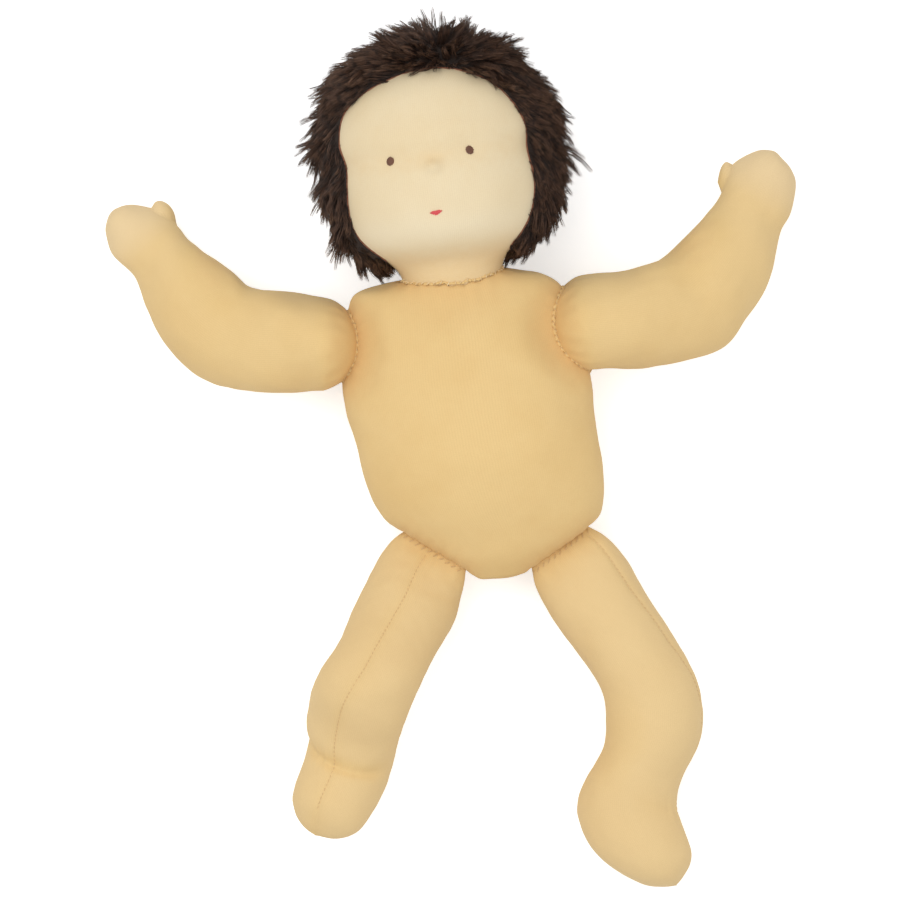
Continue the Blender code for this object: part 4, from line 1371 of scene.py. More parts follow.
@dataclass
class Arm:
    """One bent arm with a mitten hand and a thumb."""

    side: Side
    reach: float = 109 * MM
    radius: float = 22 * MM
    thumb_radius: float = 5.9 * MM
    thumb_length: float = 5.4 * MM
    hand_share: float = 0.118
    root_height: float = 32 * MM
    rest_cut: float = 0.5 * MM
    step: float = 1.0 * MM
    around: int = 128
    tip_share: float = 0.35
    dome: tuple[float, ...] = (20, 35, 53, 72)
    # Rows: upper and lower edge points from the shoulder, outward and headward,
    # and half depth, all as shares of the reach
    shares = {
        Side.RIGHT: (
            (0.02, 0.21, -0.01, -0.20, 0.20),
            (0.14, 0.24, 0.12, -0.19, 0.205),
            (0.23, 0.27, 0.27, -0.17, 0.21),
            (0.29, 0.34, 0.42, -0.12, 0.21),
            (0.34, 0.39, 0.53, -0.03, 0.205),
            (0.40, 0.44, 0.62, 0.10, 0.185),
            (0.45, 0.49, 0.66, 0.24, 0.16),
            (0.48, 0.54, 0.69, 0.37, 0.14),
            (0.51, 0.58, 0.73, 0.42, 0.13),
            (0.56, 0.62, 0.77, 0.47, 0.118),
            (0.63, 0.65, 0.79, 0.53, 0.10),
            (0.70, 0.66, 0.79, 0.58, 0.075),
            (0.73, 0.65, 0.77, 0.62, 0.04),
        ),
        Side.LEFT: (
            (0.03, 0.20, 0.01, -0.20, 0.20),
            (0.17, 0.20, 0.19, -0.21, 0.205),
            (0.29, 0.23, 0.36, -0.20, 0.21),
            (0.36, 0.27, 0.49, -0.17, 0.21),
            (0.42, 0.32, 0.61, -0.07, 0.205),
            (0.49, 0.38, 0.69, 0.04, 0.185),
            (0.54, 0.42, 0.76, 0.16, 0.16),
            (0.58, 0.48, 0.80, 0.29, 0.14),
            (0.60, 0.53, 0.84, 0.34, 0.13),
            (0.64, 0.58, 0.87, 0.42, 0.118),
            (0.70, 0.61, 0.88, 0.49, 0.10),
            (0.76, 0.62, 0.86, 0.54, 0.075),
            (0.80, 0.61, 0.83, 0.58, 0.04),
        ),
    }
    # Where the rows pass the elbow, the wrist and the hand's start
    elbow_row: float = 4.0
    wrist_row: float = 7.6
    hand_row: float = 5.0
    # Thumb: where it leaves the hand and which way it points, as shares of the reach
    thumbs = {Side.RIGHT: ((0.545, 0.585), (-0.25, 0.97)), Side.LEFT: ((0.60, 0.50), (-0.35, 0.94))}

    def form(self, bones: Skeleton) -> Form:
        """Shapes the arm from inside the shoulder to the fingertips.

        Args:
            bones: Where the shoulder is.

        Returns:
            The finished form.
        """
        way, middle, flip = bones.arm_way[self.side], bones.shoulder[self.side], self.side.sign
        back = -way * self.radius
        rows = dome(self.dome, middle, back, np.cross(UP, way) * flip * self.radius,
                    UP * self.root_height, self.around)
        for k, (tx, ty, bx, by, half) in enumerate(self.shares[self.side]):
            top = np.array((flip * tx, ty, 0.0)) * self.reach
            low = np.array((flip * bx, by, 0.0)) * self.reach
            rest = max(half, self.hand_share) * self.reach - self.rest_cut
            height = middle[2] + (rest - middle[2]) * float(ease(k / 4))
            centre = np.array((middle[0], middle[1], height)) + (top + low) / 2
            swell = 1 + (self.root_height / self.radius - 1) * (1 - float(ease(k / 3))) * 0.8
            rows.append(ring(centre, (top - low) / 2, UP * half * swell * self.reach,
                             self.around))
        ends = [row.mean(axis=0) for row in rows[-2:]]
        tip = ends[1] + (ends[1] - ends[0]) * self.tip_share
        form = Form.lofted(rows, middle + back, tip, self.step, Closing.BLUNT)
        form.relax(14)
        form.crumple((0.35, 26, 31 + flip), (0.08, 8, 32 + flip))
        self._tuck(form, middle, way)
        self._pull_thumb(form, middle)
        form.settle(0.6 * MM)
        return form

    def _tuck(self, form: Form, middle: Array, way: Array) -> None:
        """Puckers and painted shade beside the shoulder seam, painted shade in the crook and at the
        wrist, and a paler hand.

        Args:
            form: The arm so far.
            middle: The shoulder's middle.
            way: The way that the arm leaves it.
        """
        off = form.rings - middle
        out = off @ way
        turn = np.arctan2(off @ UP, off @ np.cross(UP, way))
        pleats = round(TAU * self.radius / PUCKER)
        wave = np.cos(turn * pleats + 1.7 * np.sin(turn * 2 + 0.4))
        near = bell(np.clip(out + 14 * MM, 0, None), 8 * MM)
        form.push(0.2 * MM * wave * near * ease((out + 18 * MM) / (6 * MM)))
        row = form.places - len(self.dome)
        bend = bell(row - self.elbow_row, 1.6)[:, None] * np.clip(np.cos(
            np.linspace(0, TAU, self.around, endpoint=False)), 0, 1)
        wrist = bell(row - self.wrist_row, 1.0)[:, None] * np.ones(self.around)
        hand = ease((row - self.hand_row) / 5.0)[:, None]
        # Painted shade beside the shoulder seam, in the elbow's crook and at the wrist; the arm a
        # little paler, the hand much paler
        form.blush = np.clip(0.35 * near + 0.35 * bend + 0.25 * wrist, 0, 1) - 0.1 - 0.8 * hand

    def _pull_thumb(self, form: Form, middle: Array) -> None:
        """Draws the thumb out of the edge of the hand, with painted shade round its root.

        Args:
            form: The arm so far.
            middle: The shoulder's middle.
        """
        (rx, ry), (px, py) = self.thumbs[self.side]
        flip = self.side.sign
        root = middle + np.array((flip * rx, ry, 0.0)) * self.reach
        root[2] = self.hand_share * self.reach
        point = unit(np.array((flip * px, py, 0.0)))
        off = form.rings - root
        ahead = off @ point
        wide = np.linalg.norm(off - ahead[..., None] * point, axis=2) / self.thumb_radius
        swell = np.where(wide < 1, np.sqrt(np.clip(1 - wide**2.6, 0, 1)), 0.0)
        skirt = 0.16 * bell(wide, 1.45)
        amount = self.thumb_length * np.maximum(swell * 0.9 + 0.1 * bell(wide, 1.2), skirt)
        amount *= (ahead > -2 * MM) & (wide < 2.6)
        form.rings = form.rings + point * amount[..., None]
        # Painted shade in the crease round the thumb's root
        form.blush = form.blush + 1.1 * bell(np.linalg.norm(off + point * 5 * MM, axis=2), 5 * MM)


@dataclass
class Leg:
    """One leg, sewn on flat at the hip: the left rolled outward, the right with its knee up."""

    side: Side
    length: float = 158 * MM
    radius: float = 22 * MM
    hip_width: float = 40 * MM
    nose: float = 6 * MM
    thigh_drop: float = 12 * MM
    rest_cut: float = 0.5 * MM
    foot_share: float = 0.124
    drawn_up: float = 0.82
    drawn_up_end: float = 0.76
    thigh_drop_end: float = 0.35
    droop: float = 0.4
    settle_rows: int = 4
    tip_share: float = 0.35
    step: float = 1.0 * MM
    around: int = 140
    squareness: float = 2.2
    ankle_row: int = 8
    knee_row: float = 5.0
    seam_start: float = 1.2
    seam_end: float = 12.5
    # Rows: front point and back point in the side view, along the leg and forwards,
    # and half width, all as shares of the length
    shares = (
        (0.153, 0.204, 0.213, -0.071, 0.140),
        (0.230, 0.233, 0.280, -0.044, 0.140),
        (0.344, 0.263, 0.358, -0.009, 0.139),
        (0.456, 0.288, 0.437, 0.011, 0.139),
        (0.525, 0.285, 0.493, 0.004, 0.136),
        (0.604, 0.259, 0.558, -0.020, 0.131),
        (0.661, 0.216, 0.609, -0.061, 0.127),
        (0.723, 0.164, 0.661, -0.109, 0.124),
        (0.772, 0.139, 0.722, -0.139, 0.124),
        (0.803, 0.140, 0.782, -0.140, 0.125),
        (0.842, 0.145, 0.847, -0.122, 0.125),
        (0.887, 0.150, 0.903, -0.088, 0.120),
        (0.926, 0.152, 0.956, -0.039, 0.108),
        (0.959, 0.138, 0.991, 0.013, 0.084),
        (0.990, 0.103, 1.000, 0.063, 0.045),
    )
    # Sewn root: place outward in noses, half height in noses, half width as a share of the hip
    roots = ((-0.75, 0.66, 0.43), (0.0, 1.12, 0.48), (0.9, 1.7, 0.51), (1.9, 2.5, 0.53))
    angles = {Side.RIGHT: math.radians(-120), Side.LEFT: math.radians(-83)}
    # Edges of the right leg seen from above, outer and inner, as shares of the length
    plan = (
        (-0.147, 0.139), (-0.151, 0.130), (-0.156, 0.121), (-0.161, 0.115), (-0.167, 0.114),
        (-0.170, 0.114), (-0.159, 0.115), (-0.142, 0.122), (-0.123, 0.131), (-0.114, 0.137),
        (-0.109, 0.135), (-0.104, 0.126), (-0.095, 0.114), (-0.074, 0.092), (-0.040, 0.052),
    )

    def form(self, bones: Skeleton) -> Form:
        """Shapes the leg from its sewn edge to the toes.

        Args:
            bones: Where the hip is.

        Returns:
            The finished form.
        """
        rows = self._rows(bones)
        first = len(self.roots)
        shares = [float(ease((i + 1 - first) / self.settle_rows)) for i in range(len(rows))]
        sink = max((-self.rest_cut - row[:, 2].min()) / share
                   for row, share in zip(rows, shares) if share > 0)
        rows = [row + UP * sink * share for row, share in zip(rows, shares)]
        ends = [row.mean(axis=0) for row in rows[-2:]]
        tip = ends[1] + (ends[1] - ends[0]) * self.tip_share
        root = rows[0].mean(axis=0) - bones.hip_out(self.side) * 0.6 * MM
        form = Form.lofted(rows, root, tip, self.step, Closing.BLUNT)
        form.relax(26)
        form.relax(150, 0.5 * (1 - ease((form.places - first - 1.5) / 3))
                   * ease(form.places / 1.2))
        form.relax(70, 0.5 * ease((form.places - form.places[-1] + 3.2) / 2))
        form.crumple((0.3, 28, 51 + self.side.sign), (0.06, 8, 52))
        self._tuck(form, bones)
        form.settle(0.6 * MM)
        return form

    def _rows(self, bones: Skeleton) -> list[Array]:
        """Lays out the control rings: the flat sewn root, then the side view.

        Args:
            bones: Where the hip is.

        Returns:
            The rings.
        """
        hip, line, out = bones.hip[self.side], bones.hip_line[self.side], bones.hip_out(self.side)
        rows = []
        for along, half, wide in self.roots:
            sag = float(ease(along / self.roots[-1][0]))
            middle = hip + out * along * self.nose
            middle[2] = hip[2] + (self.radius - self.rest_cut - hip[2]) * sag * self.droop
            rows.append(ring(middle, line * wide * self.hip_width, UP * half * self.nose,
                             self.around, self.squareness))
        angle = self.angles[self.side]
        down = np.array((math.cos(angle), math.sin(angle), 0.0))
        beside = np.cross(UP, down)
        for (fu, fn, bu, bn, wide), (outer, inner) in zip(self.shares, self.plan):
            half = wide * self.length
            if self.side is Side.LEFT:
                front, back = down * fu + beside * fn, down * bu + beside * bn
                middle = hip + (front + back) / 2 * self.length
                middle[2] = max(half, self.foot_share * self.length) - self.rest_cut
                axes = (front - back) / 2 * self.length, UP * half
            else:
                front = down * self._foreshortened(fu) + UP * fn
                back = down * self._foreshortened(bu) + UP * bn
                middle = hip + (front + back) / 2 * self.length
                share = (fu - self.shares[0][0]) / self.thigh_drop_end
                middle[2] -= self.thigh_drop * (1 - float(ease(share)))
                middle = middle + beside * (outer + inner) / 2 * self.length
                half = (inner - outer) / 2 * self.length
                axes = beside * half, (front - back) / 2 * self.length
            rows.append(ring(middle, *axes, self.around))
        return rows

    def _foreshortened(self, along: float) -> float:
        """Where a share of the length lies once the knee is drawn up."""
        bent = min(along, self.drawn_up_end)
        return bent * self.drawn_up + along - bent

    def seam_column(self, place: float) -> float:
        """The column that the front seam follows.

        Args:
            place: A control ring's place.

        Returns:
            The column there.
        """
        share = float(ease((place - len(self.roots) + 1) / 7))
        if self.side is Side.LEFT:
            return 0.115 * (1 - share) * self.around
        return (0.272 + 0.026 * share) * self.around

    def _tuck(self, form: Form, bones: Skeleton) -> None:
        """Puckers at the hip, the pressed seam down the front, the fold at the ankle, and painted
        shade in the creases.

        Args:
            form: The leg so far.
            bones: Where the hip is.
        """
        off = form.rings - bones.hip[self.side]
        down = off @ bones.hip_out(self.side)
        along = off @ bones.hip_line[self.side]
        wave = np.cos(along * TAU / PUCKER + 0.8 * np.sin(along * 300))
        amount = 0.2 * MM * wave * bell(down - 2 * MM, 6 * MM)
        seam = np.array([self.seam_column(p) for p in form.places])
        half = self.around / 2
        lag = np.abs((np.arange(self.around)[None] - seam[:, None] + half) % self.around - half)
        gap = lag * form.sides().mean(axis=1)[:, None]
        amount -= 0.55 * MM * bell(gap, 1.3 * MM) * ease(form.places / 1.5)[:, None]
        lengths = form.lengthwise()
        ankle = np.interp(len(self.roots) + self.ankle_row, form.places, lengths)
        front = np.clip(np.cos(lag / self.around * TAU), -0.25, 1)
        s = lengths[:, None] - ankle - 4.5 * MM + 9 * MM * (1 - front)
        fold = ease((front + 0.15) / 0.8) * (1.0 if self.side is Side.RIGHT else 0.2)
        amount -= 1.5 * MM * bell(s - 1.5 * MM, 2.8 * MM) * fold
        amount += 1.5 * MM * bell(s + 8 * MM, 7 * MM) * fold
        gather = np.cos(gap * TAU / (5.0 * MM)) * bell(gap, 16 * MM)
        amount += 0.22 * MM * gather * bell(s, 7 * MM)
        form.push(amount)
        # Painted shade beside the hip seam, in the ankle fold, beside the front seam and in the
        # knee's crook; the whole leg a little paler
        blush = (0.25 * bell(down, 7 * MM) + 0.3 * bell(s, 5 * MM) * fold
                 + 0.1 * bell(gap, 4 * MM))
        bent = bell(form.places - len(self.roots) - self.knee_row, 2.0)[:, None]
        form.blush = np.clip(blush + bent * np.clip(-front, 0, 1) * 0.5, 0, 1) - 0.38

    def front_seam(self, form: Form) -> list[Spot]:
        """The line of the machine stitches, from the hip over the foot.

        Args:
            form: The finished leg.

        Returns:
            Points and outward directions along it.
        """
        numbers = np.arange(len(form.places))
        ends = np.interp((self.seam_start, len(self.roots) + self.seam_end), form.places, numbers)
        return form.spots([(row, self.seam_column(float(np.interp(row, numbers, form.places))))
                           for row in np.linspace(*ends, 260)])


@dataclass
class Head:
    """The tied head under its face cloth, with its small features."""

    width: float = 92 * MM
    depth: float = 88 * MM
    length: float = 100 * MM
    height: float = 49.5 * MM
    neck_radius: float = 22.8 * MM
    step: float = 1.0 * MM
    around: int = 260
    # Rows: share of the length above the neck, half width and half depth as shares of the
    # width and depth, and how far the middle has risen from the neck's to the head's height
    shares: tuple[tuple[float, ...], ...] = (
        (0.035, 0.268, 0.272, 0.15),
        (0.075, 0.325, 0.325, 0.35),
        (0.12, 0.39, 0.385, 0.60),
        (0.18, 0.44, 0.435, 0.80),
        (0.26, 0.475, 0.47, 0.95),
        (0.35, 0.49, 0.487, 1.0),
        (0.44, 0.49, 0.488, 1.0),
        (0.52, 0.479, 0.477, 1.0),
        (0.60, 0.498, 0.497, 1.0),
        (0.70, 0.475, 0.475, 1.0),
        (0.79, 0.425, 0.43, 1.0),
        (0.87, 0.35, 0.355, 1.0),
        (0.935, 0.255, 0.26, 1.0),
        (0.98, 0.145, 0.15, 1.0),
    )
    dome: tuple[float, ...] = (35, 48, 62, 76, 90)
    # Places from the neck's middle, to the doll's left and headwards
    eyes = {Side.RIGHT: (-21.3 * MM, 51.5 * MM), Side.LEFT: (14.4 * MM, 52.2 * MM)}
    nose: tuple[float, float] = (-2.6 * MM, 46.8 * MM)
    mouth: tuple[float, float] = (-3.8 * MM, 26.2 * MM)
    eye_line: float = 51 * MM
    chin_line: float = 17 * MM
    cheek: tuple[float, float] = (21 * MM, 31 * MM)

    def form(self, bones: Skeleton) -> Form:
        """Shapes the head from inside the collar to the crown.

        Args:
            bones: Where the neck is.

        Returns:
            The finished form.
        """
        neck = bones.neck
        back = -HEADWARD * self.neck_radius
        rows = dome(self.dome, neck, back, LEFTWARD * self.neck_radius, UP * self.neck_radius,
                    self.around)
        for along, wide, deep, rise in self.shares:
            height = neck[2] + (self.height - neck[2]) * float(ease(rise))
            middle = np.array((neck[0], neck[1] + along * self.length, height))
            rows.append(ring(middle, LEFTWARD * wide * self.width, UP * deep * self.depth,
                             self.around))
        crown = np.array((neck[0], neck[1] + self.length, self.height))
        form = Form.lofted(rows, neck + back, crown, self.step, Closing.BLUNT)
        form.relax(18)
        self._face(form, neck)
        form.settle(0.4 * MM)
        return form

    def _face(self, form: Form, neck: Array) -> None:
        """Presses and raises the features into the front, and paints shade and light on the face.

        Args:
            form: The head so far.
            neck: The neck's middle.
        """
        off = form.rings - neck
        front = np.clip(form.normals()[..., 2], 0, 1)

        def hump(x: float, y: float, wide: float, tall: float) -> Array:
            """A soft hump on the front, its half sizes in millimetres."""
            return np.exp(-((off[..., 0] - x) / (wide * MM)) ** 2
                          - ((off[..., 1] - y) / (tall * MM)) ** 2)

        (nose_x, nose_y), (mouth_x, mouth_y) = self.nose, self.mouth
        amount = 3.4 * MM * hump(nose_x, nose_y, 3.4, 3.0)
        amount -= 0.35 * MM * hump(nose_x, nose_y + 6 * MM, 7, 3)
        for x, y in self.eyes.values():
            amount -= 0.75 * MM * hump(x, y + 0.5 * MM, 8.5, 5.5)
        for sign in (-1, 1):
            amount += 0.9 * MM * hump(sign * self.cheek[0], self.cheek[1], 13, 12)
        amount -= 0.35 * MM * hump(mouth_x, mouth_y, 6, 3)
        amount += 0.5 * MM * hump(mouth_x, mouth_y - 11 * MM, 10, 6)
        amount += 0.12 * MM * soft_noise(form.rings, 22 * MM, 71)
        form.push(amount * front)
        # Painted shade near the neck seam, along the brow and above the nose; painted light in a
        # band under the chin
        below = bell(np.clip(off[..., 1] - 2 * MM, 0, None), 10 * MM)
        brow = 0.18 * bell(off[..., 1] - self.eye_line, 5 * MM)
        bridge = 0.25 * hump(nose_x, nose_y + 3 * MM, 5, 3)
        form.blush = (np.clip(0.75 * below + brow + bridge, 0, 1)
                      - 0.6 * bell(off[..., 1] - self.chin_line, 10 * MM))

    def satin(self, tree: BVHTree, neck: Array, place: tuple[float, float],
              size: tuple[float, float], count: int, slant: float) -> list[Stitch]:
        """Threads laid side by side to fill an oval on the face.

        Args:
            tree: The face.
            neck: The neck's middle.
            place: The oval's middle.
            size: Half its size along the threads and across them.
            count: How many threads.
            slant: Turn of the threads, in radians.

        Returns:
            The stitches.
        """
        made = []
        for k in range(count):
            t = 2 * (k + 0.5) / count - 1
            point, out = from_above(tree, neck[0] + place[0] - math.sin(slant) * t * size[1],
                                    neck[1] + place[1] + math.cos(slant) * t * size[1])
            along = np.array((math.cos(slant), math.sin(slant), 0.0))
            along = unit(along - out * (along @ out))
            length = 2 * size[0] * math.sqrt(max(1 - t * t, 0.12))
            made.append(Stitch(point + out * 0.12 * MM, along, out, length))
        return made


@dataclass
class Wig:
    """The knitted wig cap, its rolled edge round the face, and the wool locks on it."""

    tree: BVHTree
    neck: Array
    pile_side: float = 11.5 * MM
    pile_top: float = 10.6 * MM
    pile_back: float = 5 * MM
    pile_low: float = 0.42
    matted: float = 0.42
    lock_length: float = 11.5 * MM
    cap_lift: float = 0.7 * MM
    rings: int = 46
    around: int = 168
    patches: int = 12
    # The edge of the face cloth, from the doll's right of the neck over the brow to its left,
    # measured from the neck's middle, to the left and headwards, in millimetres
    hairline: tuple[tuple[float, float], ...] = (
        (-26.5, 6.5), (-30.0, 9.5), (-36.4, 15.8), (-40.8, 21.3), (-42.2, 30.5), (-41.6, 41.8),
        (-40.9, 49.9), (-42.5, 57.8), (-42.6, 64.6), (-40.7, 73.4), (-35.6, 79.6), (-30.6, 82.1),
        (-19.6, 87.1), (-7.8, 90.2), (5.8, 90.4), (23.2, 84.6), (33.4, 75.6), (39.3, 64.5),
        (40.8, 54.3), (39.6, 47.7), (41.6, 33.8), (39.6, 25.0), (35.2, 16.5), (28.4, 9.2),
        (25.0, 6.0),
    )
    nape_y: float = 7.5 * MM
    middle_y: float = 50 * MM
    middle_height: float = 49.0 * MM
    pole: tuple[float, float, float] = (0.0, 0.30, -1.0)
    # Where the rings of the scalp stop short of its pole
    closing: float = 0.985
    whorl: tuple[float, float, float] = (7 * MM, 99 * MM, 18 * MM)
    wisp: tuple[float, float] = (51 * MM, 6 * MM)

    def __post_init__(self) -> None:
        """Lays out the scalp, from the wig's edge to its middle, and the pile's thickness."""
        centre = np.array((self.neck[0], self.neck[1] + self.middle_y, self.middle_height))
        start, pole = self._edge(centre), unit(np.array(self.pole))
        self.places = np.empty((self.rings, self.around, 3))
        self.outs = np.empty_like(self.places)
        for i in range(self.rings):
            share = i / (self.rings - 1) * self.closing
            angle = np.arccos(np.clip(start @ pole, -1, 1))[:, None]
            ways = (np.sin((1 - share) * angle) * start
                    + np.sin(share * angle) * pole) / np.sin(angle)
            for k, way in enumerate(ways):
                hit, normal, _, _ = self.tree.ray_cast(Vector(centre), Vector(way))
                self.places[i, k] = hit
                self.outs[i, k] = np.array(normal) * (1 if normal.dot(Vector(way)) > 0 else -1)
        self.outs = unit(self.outs)
        self.share = np.linspace(0, 1, self.rings)[:, None]
        self.under = np.clip(-self.outs[..., 2], 0, 1)
        # Where the pile hangs beside the neck: 1 there, 0 beside the brow
        self.low = 1 - ease((self.places[..., 1] - self.neck[1] - 6 * MM) / (46 * MM))
        off = self.places - self.neck
        self.stray = bell(np.linalg.norm(off[..., 1:] - np.array(self.wisp), axis=2),
                          2.4 * MM) * (off[..., 0] > 0)
        thick = self.pile_side + (self.pile_top - self.pile_side) * np.clip(self.outs[..., 1],
                                                                           0, 1)
        thick = thick * (1 - (1 - self.pile_low) * self.low)
        thick = thick + (self.pile_back - thick) * self.under**0.8
        self.thick = thick * (1 + 0.1 * soft_noise(self.places, 14 * MM, 83))
        rise = ease(np.arange(self.rings) / 5)[:, None]
        self.base = self.cap_lift + self.matted * self.thick * rise

    def _edge(self, centre: Array) -> Array:
        """Follows the wig's edge.

        Args:
            centre: The middle of the head.

        Returns:
            Directions from there to the edge, all the way round.
        """
        found = []
        for x, y in np.array(self.hairline) * MM:
            spot, pull = None, 1.0
            while spot is None and pull > 0.8:
                spot = from_above(self.tree, self.neck[0] + x * pull, self.neck[1] + y)
                pull -= 0.01
            found.append(spot[0])
        nape = Vector((self.neck[0], self.neck[1] + self.nape_y, self.neck[2] + 1 * MM))
        for angle in np.radians(np.linspace(12, -192, 17)[1:-1]):
            way = Vector((math.cos(angle), 0.0, math.sin(angle)))
            found.append(np.array(self.tree.ray_cast(nape, way)[0]))
        loop = np.array(found + [found[0]])
        steps = walked(loop)
        wanted = np.linspace(0, steps[-1], self.around, endpoint=False)
        return unit(evened(between(wanted, steps, loop), 10) - centre)

    def cap(self, look: Look) -> Piece:
        """The matted base under the locks, with its wall closed at the edge.

        Args:
            look: Its material.

        Returns:
            The piece.
        """
        lift = self.base + 0.3 * MM * soft_noise(self.places, 5 * MM, 81)
        outer = self.places + self.outs * np.maximum(lift, 0.25 * MM)[..., None]
        outer[..., 2] = np.maximum(outer[..., 2], 0.3 * MM)
        inner = self.places + self.outs * 0.15 * MM
        rings = np.concatenate((inner[::-1][:-1], outer[:1] * 0.5 + inner[:1] * 0.5, outer))
        return Form(rings, inner[-1].mean(axis=0), outer[-1].mean(axis=0),
                    np.arange(len(rings))).to_object("wig_cap", look)

    def hem(self, look: Look) -> Piece:
        """The rolled edge of the cap round the face and the nape.

        Args:
            look: Its material.

        Returns:
            The piece.
        """
        line = self.places[0] + self.outs[0] * 0.2 * MM
        line = line + np.random.default_rng(91).normal(0, 0.12 * MM, line.shape)
        radius = 0.34 * MM * (1 + 0.25 * soft_noise(line, 6 * MM, 92))
        return cord("wig_hem", line, self.outs[0], radius, look)

    def locks(self, tree: Tree, look: Look) -> list[Piece]:
        """Grows the wool on the cap, in patches.

        Args:
            tree: The geometry tree for locks.
            look: The hair's material.

        Returns:
            One piece for each patch.
        """
        flow, fall = self._flow()
        reach = self.lock_length * (0.5 + 0.5 * self.thick / self.pile_side)
        reach = reach * (0.7 + 0.3 * ease(self.share / 0.12))
        reach = reach * (1 + 0.1 * soft_noise(self.places, 9 * MM, 87))
        reach = reach * (1 + 1.1 * self.stray)
        seats = self.places + self.outs * (self.base - 0.3 * MM)[..., None]
        edges = np.linspace(0, self.around, self.patches + 1).astype(int)
        made = []
        for number, (low, high) in enumerate(zip(edges, edges[1:])):
            columns = np.arange(low, high + 1) % self.around
            wide = len(columns)
            mesh = new_mesh("scalp", seats[:, columns], [
                (i + k, i + k + 1, i + wide + k + 1, i + wide + k)
                for i in range(0, (self.rings - 1) * wide, wide) for k in range(wide - 1)])
            store(mesh, "flow", flow[:, columns], "FLOAT_VECTOR")
            store(mesh, "fall", fall[:, columns], "FLOAT_VECTOR")
            store(mesh, "reach", reach[:, columns])
            made.append(grown(f"wool_locks_{number + 1}", mesh, tree, {
                "Lock Spacing": 1.55 * MM, "Lock Radius": 1.4 * MM, "Strand Radius": 0.145 * MM,
                "Waviness": 2.6 * MM, "Length Change": 0.2, "Tip Gathering": 0.5,
                "Straying": 0.2, "Bending Over": 0.3,
                "Strands": 12, "Strand Points": 6, "Seed": 100 + number, "Material": look}))
        return made

    def _flow(self) -> tuple[Array, Array]:
        """How the pile lies: it rises from the cap and bends over, away from the whorl.

        Returns:
            The way each lock starts, and the way it bends to.
        """
        places, outs = self.places, self.outs
        off = places - self.neck - np.array(self.whorl)
        away = unit(off)
        away = unit(away - outs * (away * outs).sum(axis=-1, keepdims=True))
        far = ease(np.linalg.norm(off, axis=2) / (24 * MM))
        backward = np.empty_like(places)
        backward[:-1] = places[1:] - places[:-1]
        backward[-1] = backward[-2]
        edge = bell(self.share, 0.16)
        swirl = np.stack([soft_noise(places, 11 * MM, 84 + k) for k in range(3)], axis=-1)
        flow = outs * (0.62 - 0.2 * self.under - 0.34 * self.low)[..., None]
        flow = (flow + away * (0.25 + 0.7 * far)[..., None]
                + unit(backward) * (0.3 * edge)[..., None])
        flow[..., 2] += 0.25 * self.under
        flow = flow + outs * (1.1 * self.stray)[..., None]
        fall = unit(away + 0.35 * swirl) * (0.35 + 0.65 * far)[..., None] - outs * 0.25
        return unit(flow + 0.2 * swirl), fall


